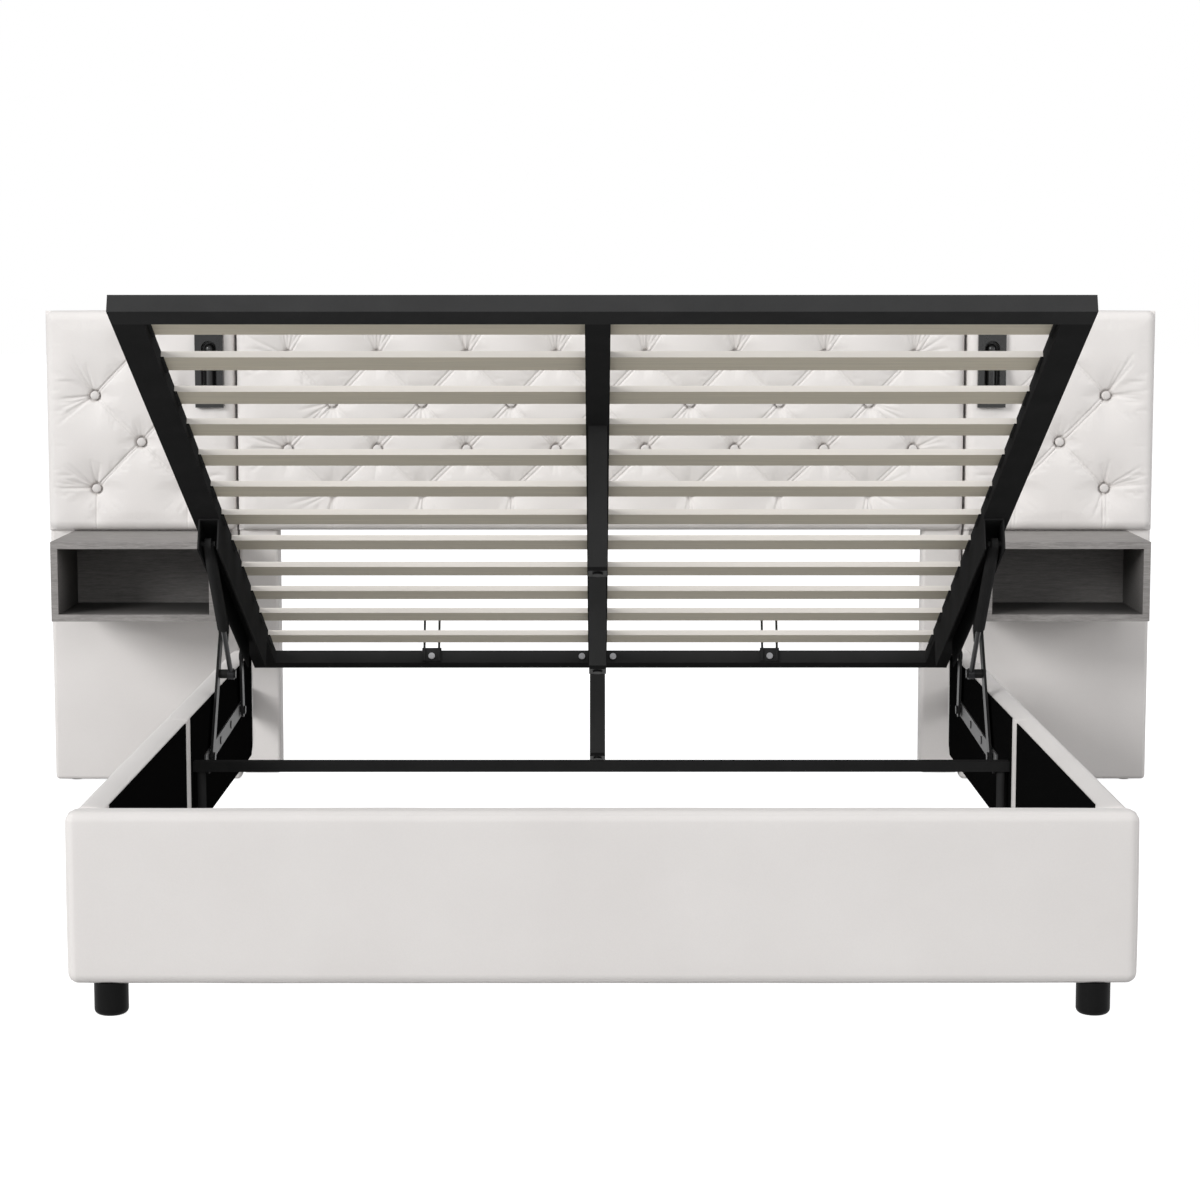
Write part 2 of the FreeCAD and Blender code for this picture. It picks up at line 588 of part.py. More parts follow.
front_arm = cut(flat_arm("front_arm_long"),
                rod("pin_radius+turn_clear", "arm_thick", "x", "arm_in", "0", "0"),
                rod("pin_radius+turn_clear", "arm_thick", "x", "arm_in", "front_arm_long", "0"),
                rod("pin_radius", "arm_thick", "x", "arm_in", "strut_on_arm", "0"))
node("front_arms", both(seat_arm(front_arm, pivot_front_y, "front_pivot_z", "front_arm_angle")))
rivet_x = "arm_in-pin_head_thick/2"
rear_arm = cut(flat_arm("rear_arm_long"),
               rod("pin_radius+turn_clear", "arm_thick", "x", "arm_in", "0", "0"))
rear_arm = fuse(rear_arm,
                rod("pin_head_radius", "arm_thick+pin_head_thick", "x", rivet_x, "rear_arm_long", "0"))
node("rear_arms", both(seat_arm(rear_arm, pivot_rear_y, "rear_pivot_z", "atan2(rear_rise; rear_run)")))
strut_head = "strut_x-eye_wide/2-pin_play-pin_head_thick"
collar_in = "strut_x+eye_wide/2+pin_play"
node("strut_pins", both(fuse(
    rod("pin_radius", "arm_out-(%s)" % strut_head, "x", strut_head, "strut_y", "strut_z"),
    rod("pin_head_radius", "pin_head_thick", "x", strut_head, "strut_y", "strut_z"),
    rod("pin_head_radius", "arm_in-pin_play-(%s)" % collar_in, "x", collar_in, "strut_y", "strut_z"))))

# Gas strut: rod hinged on the front arm, cylinder up in the channel.
strut_angle = "atan2(strut_rise; strut_run)"
eye_x = "strut_x-eye_wide/2"
gas_rod = cut(fuse(rod("rod_radius", "rod_long", "y", "strut_x", "0", "0"),
                   rod("eye_radius", "eye_wide", "x", eye_x, "0", "0")),
              rod("pin_radius+turn_clear", "eye_wide", "x", eye_x, "0", "0"))
node("gas_rods", both(seat_arm(gas_rod, "strut_y", "strut_z", strut_angle)))
gas_low = "strut_long-cylinder_long"
gas_tube = fuse(rod("cylinder_radius", "cylinder_long", "y", "strut_x", gas_low, "0"),
                rod("cylinder_radius", "eye_wide", "x", eye_x, "strut_long", "0"),
                rod("end_pin_radius", "2*end_pin_half", "x", "strut_x-end_pin_half", "strut_long", "0"))
gas_tube = cut(gas_tube, rod("rod_radius+rod_clear", "cylinder_bore_deep", "y", "strut_x", gas_low, "0"))
node("gas_cylinders", both(seat_arm(gas_tube, "strut_y", "strut_z", strut_angle)))

# Channels under the side beams, with a lug for the front arm.
lug_low = "-front_lug_drop-lug_below"
channel = fuse(
    box("channel_in", "channel_out", "channel_front", "channel_rear", "-channel_gauge", "0"),
    box("channel_in", "channel_in+channel_gauge", "channel_front", "channel_rear", "-channel_drop", "0"),
    box("channel_out-channel_gauge", "channel_out", "channel_front", "channel_rear", "-channel_drop", "0"),
    box("channel_out-channel_gauge", "channel_out",
        "front_lug_s-lug_half", "front_lug_s+lug_half", lug_low, "0"))
lug_hole = rod("pin_radius", "channel_gauge", "x", "channel_out-channel_gauge",
               "front_lug_s", "-front_lug_drop")
channel = cut(channel, lug_hole)
node("lift_channels", both(raise_frame(channel)))
lug_head = "channel_out-channel_gauge-pin_head_thick"
pin_end = "arm_out+pin_play+pin_head_thick/2"
node("arm_pins", both(fuse(
    rod("pin_radius", "%s-(%s)" % (pin_end, lug_head), "x", lug_head, "lug_y", "lug_z"),
    rod("pin_head_radius", "pin_head_thick", "x", lug_head, "lug_y", "lug_z"),
    rod("pin_head_radius", "pin_head_thick/2", "x", "arm_out+pin_play", "lug_y", "lug_z"))))

# Slat frame.
rear_front = "frame_length-rear_beam_wide"


def hollow(axis, x0, x1, y0, y1, z0, z1, wall):
    """Square tube along one axis, open at both ends."""
    outer = box(x0, x1, y0, y1, z0, z1)
    spans = {"x": [x0, x1], "y": [y0, y1], "z": [z0, z1]}
    for name in spans:
        if name != axis:
            spans[name] = ["(%s)+%s" % (spans[name][0], wall), "(%s)-%s" % (spans[name][1], wall)]
    return cut(outer, box(*(spans["x"] + spans["y"] + spans["z"])))


front_beam = hollow("x", "-half_frame", "half_frame", "0", "beam_wide", "0", "beam_tall", "beam_wall")
node("frame_front_beam", raise_frame(front_beam))
rear_beam = hollow("x", "-half_frame", "half_frame", rear_front, "frame_length",
                   "0", "beam_tall", "beam_wall")
node("frame_rear_beam", raise_frame(rear_beam))
side_beam = hollow("y", "beam_in", "half_frame", "beam_wide", rear_front, "0", "beam_tall", "beam_wall")
node("frame_side_beams", both(raise_frame(side_beam)))
# The centre beam and its legs stand a little left of the middle.
centre_beam = hollow("y", "centre_left", "centre_right", "beam_wide", rear_front,
                     "0", "beam_tall", "beam_wall")
node("frame_centre_beam", raise_frame(centre_beam))
legs = []
leg_caps = []
for leg_s in ("leg_first", "leg_second", "leg_third"):
    span = ("-leg_size/2-centre_shift", "leg_size/2-centre_shift",
            leg_s + "-leg_size/2", leg_s + "+leg_size/2")
    legs.append(hollow("z", *span, "-leg_long", "0", "leg_wall"))
    leg_caps.append(fuse(
        box(*span, "-leg_long-foot_cap_tall", "-leg_long"),
        rod("foot_screw_radius", "foot_screw_tall", "z", "-centre_shift", leg_s,
            "-leg_long-foot_cap_tall-foot_screw_tall")))
node("centre_legs", raise_frame(group(*legs)))
node("leg_feet", raise_frame(group(*leg_caps)))

# Each row's distance from even spacing, as seen in the photo.
SLAT_SHIFTS = (0, -6, -11, -16, -20, -10, -9, -13, -4, -2, -6, 0)
slats_on = {"right": [], "left": []}
rests = []
for row, shift in enumerate(SLAT_SHIFTS):
    row_y = "slat_first+%d*slat_step+(%d)" % (row, shift)
    y0 = row_y + "-slat_wide/2"
    y1 = row_y + "+slat_wide/2"
    slats_on["right"].append(box("centre_right", "beam_in", y0, y1, "slat_base", "beam_tall"))
    slats_on["left"].append(box("-beam_in", "centre_left", y0, y1, "slat_base", "beam_tall"))
    rests.append(box("beam_in-cap_long", "beam_in", y0 + "-cap_wall", y1 + "+cap_wall",
                     "slat_base-cap_wall", "slat_base"))
for side_name, rows in slats_on.items():
    node("slats_" + side_name, raise_frame(group(*rows)))
node("slat_caps", both(raise_frame(group(*rests))))

# Wire mattress stops and bolts on the rear beam's front face.
stop_y = rear_front + "-plate_gauge"
wire_y = stop_y + "-wire_radius"
stop_x0 = "stop_offset-stop_wide/2"
stop_x1 = "stop_offset+stop_wide/2"
wire_top = "beam_tall+stop_tall-wire_radius"
wire_low = "stop_plate_low"
stop_plate = box("stop_offset-stop_plate_wide/2", "stop_offset+stop_plate_wide/2", stop_y, rear_front,
                 wire_low, "beam_tall+stop_plate_over")
wire = fuse(stop_plate,
            rod("wire_radius", wire_top + "-(%s)" % wire_low, "z", stop_x0, wire_y, wire_low),
            rod("wire_radius", wire_top + "-(%s)" % wire_low, "z", stop_x1, wire_y, wire_low),
            rod("wire_radius", "stop_wide", "x", stop_x0, wire_y, wire_top),
            ball("wire_radius", stop_x0, wire_y, wire_top),
            ball("wire_radius", stop_x1, wire_y, wire_top))
node("mattress_stops", both(raise_frame(wire)))
bolt_z = "beam_tall/2"
bolts = []
for side in ("", "-"):
    bolts.append(rod("frame_bolt_radius", "frame_bolt_proud", "y", side + "stop_offset",
                     stop_y + "-frame_bolt_proud", bolt_z))
    bolts.append(rod("frame_bolt_radius", "frame_bolt_proud", "y", side + "centre_bolt_offset-centre_shift",
                     rear_front + "-frame_bolt_proud", bolt_z))
node("frame_bolts", raise_frame(group(*bolts)))

doc.recompute()
os.makedirs("parts", exist_ok=True)
for old in os.listdir("parts"):
    if old.endswith(".step") and old[:-5] not in nodes:
        os.remove(os.path.join("parts", old))
for item in doc.Objects:
    if "Invalid" in item.State or "Touched" in item.State:
        raise RuntimeError("%s %s is %s: %s" % (item.Name, item.Label, item.State, item.getStatusString()))
total = None
for name, item in sorted(nodes.items()):
    shape = item.Shape
    if not shape.isValid() or not shape.Solids or any(s.Volume <= 0 for s in shape.Solids):
        raise RuntimeError("%s has no valid solid" % name)
    shape.exportStep("parts/%s.step" % name)
    total = shape.BoundBox if total is None else total.united(shape.BoundBox)
print(len(nodes), "nodes", "X %.2f %.2f Y %.2f %.2f Z %.2f %.2f" % (
    total.XMin, total.XMax, total.YMin, total.YMax, total.ZMin, total.ZMax))
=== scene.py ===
import bpy
import json
import math
import numpy as np
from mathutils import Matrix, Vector


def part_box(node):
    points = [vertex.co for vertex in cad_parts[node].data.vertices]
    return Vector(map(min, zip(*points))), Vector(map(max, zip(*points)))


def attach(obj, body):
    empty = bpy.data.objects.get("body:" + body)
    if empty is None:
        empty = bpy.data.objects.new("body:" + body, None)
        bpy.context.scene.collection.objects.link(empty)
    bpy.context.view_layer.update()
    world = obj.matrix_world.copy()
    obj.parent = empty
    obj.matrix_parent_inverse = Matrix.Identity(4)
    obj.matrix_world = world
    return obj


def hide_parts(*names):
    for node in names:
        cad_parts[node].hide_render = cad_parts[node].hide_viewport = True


# Upholstered storage bed in metres, in the CAD model's frame.
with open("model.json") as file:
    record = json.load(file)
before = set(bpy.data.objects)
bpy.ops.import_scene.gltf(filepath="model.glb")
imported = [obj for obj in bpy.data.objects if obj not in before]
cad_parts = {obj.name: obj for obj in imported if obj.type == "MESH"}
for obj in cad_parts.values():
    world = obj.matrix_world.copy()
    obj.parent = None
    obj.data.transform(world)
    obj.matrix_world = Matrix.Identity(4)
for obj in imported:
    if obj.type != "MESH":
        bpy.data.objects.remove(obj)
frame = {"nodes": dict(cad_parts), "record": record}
NODES = frame["nodes"]
SLOTS = {part["node"]: part["material_slot"] for part in frame["record"]["subparts"]}
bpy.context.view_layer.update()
RNG = np.random.default_rng(7)


# Materials
def new_material(name, rough, metallic=0.0, spec=0.5):
    mat = bpy.data.materials.new(name)
    mat.use_nodes = True
    tree = mat.node_tree
    shader = tree.nodes["Principled BSDF"]
    shader.inputs["Roughness"].default_value = rough
    shader.inputs["Metallic"].default_value = metallic
    shader.inputs["Specular IOR Level"].default_value = spec
    return mat, tree, shader


def add(tree, kind, **values):
    item = tree.nodes.new(kind)
    for key, value in values.items():
        if key in item.inputs:
            item.inputs[key].default_value = value
        else:
            setattr(item, key, value)
    return item


def coords(tree, scale=(1, 1, 1)):
    """Object coordinates, stretched: every piece's mesh is in the row frame."""
    source = add(tree, "ShaderNodeTexCoord")
    mapping = add(tree, "ShaderNodeMapping")
    mapping.inputs["Scale"].default_value = scale
    tree.links.new(source.outputs["Object"], mapping.inputs["Vector"])
    return mapping.outputs["Vector"]


def noise(tree, vector, scale, detail=3.0, rough=0.5):
    item = add(tree, "ShaderNodeTexNoise", Scale=scale, Detail=detail, Roughness=rough)
    tree.links.new(vector, item.inputs["Vector"])
    return item.outputs["Fac"]


def wave(tree, vector, direction, scale, distortion=0.0):
    item = add(tree, "ShaderNodeTexWave", bands_direction=direction, Scale=scale, Distortion=distortion)
    tree.links.new(vector, item.inputs["Vector"])
    return item.outputs["Fac"]


def ramp(tree, source, stops):
    item = add(tree, "ShaderNodeValToRGB")
    elements = item.color_ramp.elements
    while len(elements) < len(stops):
        elements.new(0.5)
    for element, (place, colour) in zip(elements, stops):
        element.position = place
        element.color = (*colour, 1)
    tree.links.new(source, item.inputs["Fac"])
    return item.outputs["Color"]


def mix(tree, factor, a, b):
    """Float mix; a and b are sockets."""
    item = add(tree, "ShaderNodeMix", data_type="FLOAT")
    item.inputs["Factor"].default_value = factor
    tree.links.new(a, item.inputs["A"])
    tree.links.new(b, item.inputs["B"])
    return item.outputs["Result"]


def bump(tree, shader, height, distance, strength=1.0):
    item = add(tree, "ShaderNodeBump", Strength=strength, Distance=distance)
    tree.links.new(height, item.inputs["Height"])
    tree.links.new(item.outputs["Normal"], shader.inputs["Normal"])


def vary_rough(tree, shader, source, low, high):
    item = add(tree, "ShaderNodeMapRange")
    item.inputs["To Min"].default_value = low
    item.inputs["To Max"].default_value = high
    tree.links.new(source, item.inputs["Value"])
    tree.links.new(item.outputs["Result"], shader.inputs["Roughness"])


def colour_by(tree, shader, source, stops):
    tree.links.new(ramp(tree, source, stops), shader.inputs["Base Color"])


def grey(level):
    return (level, level, level)


def dimmed(colour, share):
    return [channel * share for channel in colour]


CREAM_DARK = (0.735, 0.705, 0.685)
CREAM_LIGHT = (0.785, 0.757, 0.737)
SLAT_FACE = (0.76, 0.69, 0.55)
SLAT_EDGE = (0.84, 0.795, 0.735)
OAK_DARK = (0.165, 0.155, 0.149)
OAK_LIGHT = (0.345, 0.328, 0.316)
# Painted shade: a darker copy of the grey oak for the shelves' backs.
SHADED_OAK_DARK = (0.105, 0.099, 0.095)
SHADED_OAK_LIGHT = (0.22, 0.209, 0.201)
BOARD_DARK = (0.46, 0.35, 0.23)
BOARD_LIGHT = (0.66, 0.52, 0.36)
# How much finer the grain is along X, Y and Z than plain noise.
OAK_GRAIN = (6, 60, 60)
SLAT_GRAIN = (1.2, 30, 30)
BOARD_GRAIN = (20, 20, 20)
# How far the painted shade inside the shelves reaches.
SHELF_SHADE_REACH = 0.2
COAT_GRAIN_DEEP = 0.00015


def make_upholstery(name, shade):
    """Woven cloth with a soft sheen, its cream dimmed by a share: below 1 that dimming is painted shade."""
    mat, tree, shader = new_material(name, 0.62, spec=0.35)
    shader.inputs["Sheen Weight"].default_value = 0.18
    shader.inputs["Sheen Roughness"].default_value = 0.45
    plain = coords(tree)
    cloud = noise(tree, plain, 5.0, 4.0)
    fine = noise(tree, plain, 420.0, 3.0, 0.7)
    stops = [(0.3, dimmed(CREAM_DARK, shade)), (0.7, dimmed(CREAM_LIGHT, shade))]
    colour_by(tree, shader, mix(tree, 0.35, cloud, fine), stops)
    vary_rough(tree, shader, fine, 0.55, 0.72)
    weave = mix(tree, 0.5, wave(tree, plain, "X", 260.0, 1.5), wave(tree, plain, "Z", 260.0, 1.5))
    bump(tree, shader, mix(tree, 0.6, weave, fine), 0.0003, 0.6)
    return mat


def make_lining():
    """Black non-woven cloth with pressed dots."""
    mat, tree, shader = new_material("black_lining", 0.95, spec=0.0)
    plain = coords(tree)
    fibre = noise(tree, plain, 300.0, 4.0, 0.8)
    colour_by(tree, shader, fibre, [(0.3, grey(0.003)), (0.75, grey(0.007))])
    dots = mix(tree, 0.5, wave(tree, plain, "Y", 160.0), wave(tree, plain, "Z", 160.0))
    bump(tree, shader, mix(tree, 0.4, fibre, dots), 0.0004)
    return mat


def make_slat(name, face_normal, face, edge, grain_light):
    """Bent plywood: warm veneer on the broad faces, paler plies on the edges, grain along X."""
    mat, tree, shader = new_material(name, 0.55, spec=0.3)
    grain = noise(tree, coords(tree, SLAT_GRAIN), 5.0, 6.0, 0.65)
    veneer = ramp(tree, grain, [(0.3, dimmed(face, grain_light)), (0.7, face)])
    plies = ramp(tree, grain, [(0.3, dimmed(edge, 0.95)), (0.7, edge)])
    source = add(tree, "ShaderNodeTexCoord")
    turned = add(tree, "ShaderNodeVectorMath", operation="DOT_PRODUCT")
    turned.inputs[1].default_value = face_normal
    tree.links.new(source.outputs["Normal"], turned.inputs[0])
    size = add(tree, "ShaderNodeMath", operation="ABSOLUTE")
    tree.links.new(turned.outputs["Value"], size.inputs[0])
    share = add(tree, "ShaderNodeMapRange")
    share.inputs["From Min"].default_value = 0.5
    share.inputs["From Max"].default_value = 0.8
    tree.links.new(size.outputs[0], share.inputs["Value"])
    both = add(tree, "ShaderNodeMix", data_type="RGBA")
    tree.links.new(share.outputs["Result"], both.inputs["Factor"])
    tree.links.new(plies, both.inputs["A"])
    tree.links.new(veneer, both.inputs["B"])
    tree.links.new(both.outputs["Result"], shader.inputs["Base Color"])
    vary_rough(tree, shader, grain, 0.48, 0.62)
    bump(tree, shader, grain, 0.0002, 0.5)
    return mat


def make_wood(name, stretch, dark, light, rough, streak, pore, hollow=0.0):
    """Wood with streaks and pores, dimmed by painted shade where a hollow of that size closes round it."""
    mat, tree, shader = new_material(name, rough, spec=0.4)
    grain = noise(tree, coords(tree, stretch), streak, 6.0, 0.65)
    pores = noise(tree, coords(tree, stretch), pore, 3.0, 0.7)
    both = mix(tree, 0.45, grain, pores)
    middle = [(a + b) / 2 for a, b in zip(dark, light)]
    colour = ramp(tree, both, [(0.32, dark), (0.5, middle), (0.66, light)])
    # Painted shade: ambient occlusion within the hollow's distance dims the colour.
    if hollow:
        painted_shade = add(tree, "ShaderNodeAmbientOcclusion", Distance=hollow)
        tree.links.new(colour, painted_shade.inputs["Color"])
        colour = painted_shade.outputs["Color"]
    tree.links.new(colour, shader.inputs["Base Color"])
    vary_rough(tree, shader, pores, rough - 0.08, rough + 0.1)
    bump(tree, shader, both, 0.0003, 0.5)
    return mat


def make_coated(name, dark, light, rough, spread, grain, metallic=0.0, spec=0.5):
    """Painted, moulded or bare metal surface with a fine grain and cloudy gloss."""
    mat, tree, shader = new_material(name, rough, metallic, spec)
    plain = coords(tree)
    fine = noise(tree, plain, grain, 3.0, 0.6)
    cloud = noise(tree, plain, 14.0, 3.0)
    colour_by(tree, shader, mix(tree, 0.5, fine, cloud), [(0.3, dark), (0.7, light)])
    vary_rough(tree, shader, cloud, rough - spread, rough + spread)
    bump(tree, shader, fine, COAT_GRAIN_DEEP, 0.5)
    return mat


def make_oak(name, dark, light, hollow=0.0):
    """Grey oak of the shelves, with its grain along X."""
    return make_wood(name, OAK_GRAIN, dark, light, rough=0.6, streak=3.0, pore=9.0, hollow=hollow)


def make_steel(name, dark, light):
    """Steel with a dull black coat."""
    return make_coated(name, grey(dark), grey(light), rough=0.6, spread=0.05, grain=900.0, spec=0.0)


# The slat frame is drawn raised, so its slats lie tilted about X.
FRAME_TILT = math.radians(23.74)
SLAT_NORMAL = (0.0, math.sin(FRAME_TILT), math.cos(FRAME_TILT))

MATERIALS = {
    "cream_upholstery": make_upholstery("cream_upholstery", 1.0),
    # Buttons: the same cream dimmed, painted shade for the pits they sit in.
    "button_cover": make_upholstery("button_cover", 0.88),
    "black_lining": make_lining(),
    "grey_oak": make_oak("grey_oak", OAK_DARK, OAK_LIGHT),
    # Shelf sides and bottoms: grey oak with painted shade inside the hollow.
    "inner_oak": make_oak("inner_oak", OAK_DARK, OAK_LIGHT, SHELF_SHADE_REACH),
    # Shelf backs: grey oak darkened, painted shade at the back of each shelf.
    "dark_oak": make_oak("dark_oak", SHADED_OAK_DARK, SHADED_OAK_LIGHT),
    "slat_wood": make_slat("slat_wood", SLAT_NORMAL, SLAT_FACE, SLAT_EDGE, grain_light=0.86),
    "board": make_wood("board", BOARD_GRAIN, BOARD_DARK, BOARD_LIGHT, rough=0.8, streak=6.0, pore=14.0),
    "black_steel": make_steel("black_steel", 0.026, 0.035),
    # Front beam: a lighter copy of the black coat, painted light for its lit front.
    "front_steel": make_steel("front_steel", 0.041, 0.053),
    # Crossbar: a darker copy of the black coat, painted shade under the bed box.
    "bar_steel": make_steel("bar_steel", 0.017, 0.023),
    "satin_steel": make_coated("satin_steel", grey(0.014), grey(0.019),
                               rough=0.4, spread=0.06, grain=900.0, spec=0.11),
    "black_plastic": make_coated("black_plastic", grey(0.005), grey(0.008),
                                 rough=0.45, spread=0.05, grain=700.0, spec=0.06),
    "pale_plastic": make_coated("pale_plastic", (0.60, 0.58, 0.54), (0.68, 0.66, 0.62),
                                rough=0.5, spread=0.05, grain=500.0),
    "zinc": make_coated("zinc", (0.42, 0.42, 0.43), (0.58, 0.58, 0.59),
                        rough=0.38, spread=0.08, grain=600.0, metallic=0.9),
    "plate_grey": make_coated("plate_grey", grey(0.08), grey(0.105),
                              rough=0.5, spread=0.06, grain=600.0, metallic=0.3, spec=0.2),
    "lamp_black": make_coated("lamp_black", grey(0.012), grey(0.018), rough=0.28, spread=0.04, grain=700.0),
    "dark_rod": make_coated("dark_rod", (0.022, 0.022, 0.023), (0.032, 0.032, 0.034),
                            rough=0.4, spread=0.06, grain=600.0, metallic=0.3, spec=0.2),
}


# Mesh helpers
def mesh_object(name, verts, faces, slot):
    """Smooth-shaded mesh object in that slot's material."""
    mesh = bpy.data.meshes.new(name)
    mesh.from_pydata([tuple(v) for v in verts], [], [tuple(f) for f in faces])
    mesh.validate()
    mesh.polygons.foreach_set("use_smooth", [True] * len(mesh.polygons))
    mesh.materials.append(MATERIALS[slot])
    obj = bpy.data.objects.new(name, mesh)
    bpy.context.scene.collection.objects.link(obj)
    return obj


SOFT_WAVES = 6
# Where the grid lines of a rounded end lie, as shares of its radius.
END_SHARES = np.array([0.0, 0.08, 0.2, 0.35, 0.52, 0.7, 0.86, 1.0])
WRAP_STEP = 0.02
WRAP_RIPPLE_PITCH = 0.17
WRAP_RIPPLE = 0.0004
# A vertex belongs to a face when its normal leans this far towards it; a face swells by a flattened bow.
FACE_LEAN = 0.7
BOW_POWER = 0.4


def soft_noise(x, y, z, pitch, seed):
    """Slow waves of about that pitch, from -1 to 1, for cloth that is never quite flat."""
    draws = np.random.default_rng(seed)
    total = np.zeros_like(x)
    for _ in range(SOFT_WAVES):
        direction = draws.normal(size=3)
        direction /= np.linalg.norm(direction)
        phase = draws.uniform(0, 2 * math.pi)
        along = x * direction[0] + y * direction[1] + z * direction[2]
        total += np.sin(along * 2 * math.pi / pitch + phase)
    return total / SOFT_WAVES


def stations(low, high, radius, step):
    """Grid lines along one side: close together in the rounded ends, even between."""
    inner = max(2, int(round((high - low - 2 * radius) / step)))
    middle = np.linspace(low + radius, high - radius, inner + 1)[1:-1]
    return np.concatenate([low + radius * END_SHARES, middle, high - radius * END_SHARES[::-1]])


def wrapped_box(lo, hi, radius, crown, step, seed):
    """Vertices and faces of an upholstered box: round edges, faces that swell, cloth not quite flat."""
    lines = [stations(lo[i], hi[i], radius, step) for i in range(3)]
    index = {}
    verts = []
    faces = []

    def vertex(i, j, k):
        key = (i, j, k)
        if key not in index:
            index[key] = len(verts)
            verts.append((lines[0][i], lines[1][j], lines[2][k]))
        return index[key]

    last = [len(line) - 1 for line in lines]
    for axis in range(3):
        u, v = (axis + 1) % 3, (axis + 2) % 3
        for side in (0, last[axis]):
            for a in range(last[u]):
                for b in range(last[v]):
                    ring = []
                    for da, db in ((0, 0), (1, 0), (1, 1), (0, 1)):
                        at = [0, 0, 0]
                        at[axis], at[u], at[v] = side, a + da, b + db
                        ring.append(vertex(*at))
                    faces.append(ring if side else ring[::-1])
    points = np.array(verts)
    low, high = np.array(lo), np.array(hi)
    core = np.clip(points, low + radius, high - radius)
    out = points - core
    length = np.linalg.norm(out, axis=1, keepdims=True)
    out = out / np.maximum(length, 1e-9)
    points = core + out * radius
    share = (points - low) / (high - low)
    swell = np.ones(len(points))
    for i in range(3):
        bow = np.clip(4 * share[:, i] * (1 - share[:, i]), 0, 1) ** BOW_POWER
        swell *= np.where(np.abs(out[:, i]) > FACE_LEAN, 1.0, bow)
    ripple = soft_noise(*points.T, WRAP_RIPPLE_PITCH, seed) * WRAP_RIPPLE
    points = points + out * (swell * crown + ripple)[:, None]
    return points, faces


def join_meshes(parts):
    """One list of vertices and one of faces from several."""
    verts = []
    faces = []
    for points, rings in parts:
        base = sum(len(v) for v in verts)
        verts.append(points)
        faces.extend([[i + base for i in ring] for ring in rings])
    return np.concatenate(verts), faces


def wrap_node(piece_name, node, boxes, radius, crown, seed):
    """Upholstery that stands for a CAD node, made of one or more wrapped boxes."""
    parts = [wrapped_box(lo, hi, radius, crown, WRAP_STEP, seed + i) for i, (lo, hi) in enumerate(boxes)]
    verts, faces = join_meshes(parts)
    obj = mesh_object(piece_name, verts, faces, "cream_upholstery")
    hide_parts(node)
    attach(obj, "bed_box")


ARC_STEPS = 8


def arc(centre, radius, start):
    """Quarter circle, anticlockwise from an angle in quarter turns."""
    out = []
    for i in range(ARC_STEPS + 1):
        a = (start + i / ARC_STEPS) * math.pi / 2
        out.append((centre[0] + radius * math.cos(a), centre[1] + radius * math.sin(a)))
    return out


RAIL_CROWN = 0.005
RAIL_PEAK = 0.032
RAIL_SHOULDER = 0.024
RAIL_END_CUT = 0.020
RAIL_LOW_ROUND = 0.018
RAIL_INNER_ROUND = 0.004
RAIL_STEP = 0.02
RAIL_ROW_STEP = 0.025
SHOULDER_STEPS = 12
CROWN_STEPS = 10
# Rows of a rail from its near end, and how far the cloth is drawn in at the ends.
RAIL_FIRST_ROW = 0.02
RAIL_LAST_ROW = 0.04
RAIL_TIGHT = 0.0015
RAIL_TIGHT_ROW = 0.0004
# Rows close together before a rail's far end. At the headboard its lower corner is cut off there in a curve.
RAIL_END_ROWS = (0.032, 0.026, 0.020, 0.015, 0.010, 0.006)
RAIL_CUT_REACH = RAIL_END_CUT * 1.5
RAIL_CUT_CURVE = 1.7
RAIL_RIPPLE = 0.0005
RAIL_RIPPLE_UP = 0.21
RAIL_RIPPLE_OUT = 0.19
RAIL_RIPPLE_FROM = 0.02
RAIL_TOP_FROM = 0.3


def rail_profile(wide, low, high):
    """Cross-section of a rail, inner side at 0: crowned top, soft outer edges, tight inner ones."""
    loop = arc((wide - RAIL_LOW_ROUND, low + RAIL_LOW_ROUND), RAIL_LOW_ROUND, 3)
    for i in range(SHOULDER_STEPS + 1):
        a = i / SHOULDER_STEPS * math.pi / 2
        x = RAIL_PEAK + (wide - RAIL_PEAK) * math.cos(a)
        loop.append((x, high - RAIL_SHOULDER * (1 - math.sin(a))))
    for i in range(1, CROWN_STEPS + 1):
        x = RAIL_PEAK * (1 - i / CROWN_STEPS)
        loop.append((x, high - RAIL_CROWN * (i / CROWN_STEPS) ** 2))
    loop += arc((RAIL_INNER_ROUND, low + RAIL_INNER_ROUND), RAIL_INNER_ROUND, 2)
    out = []
    for i, point in enumerate(loop):
        after = loop[(i + 1) % len(loop)]
        pieces = max(1, int(math.dist(point, after) / RAIL_STEP))
        for k in range(pieces):
            t = k / pieces
            out.append((point[0] + (after[0] - point[0]) * t, point[1] + (after[1] - point[1]) * t))
    return np.array(out)


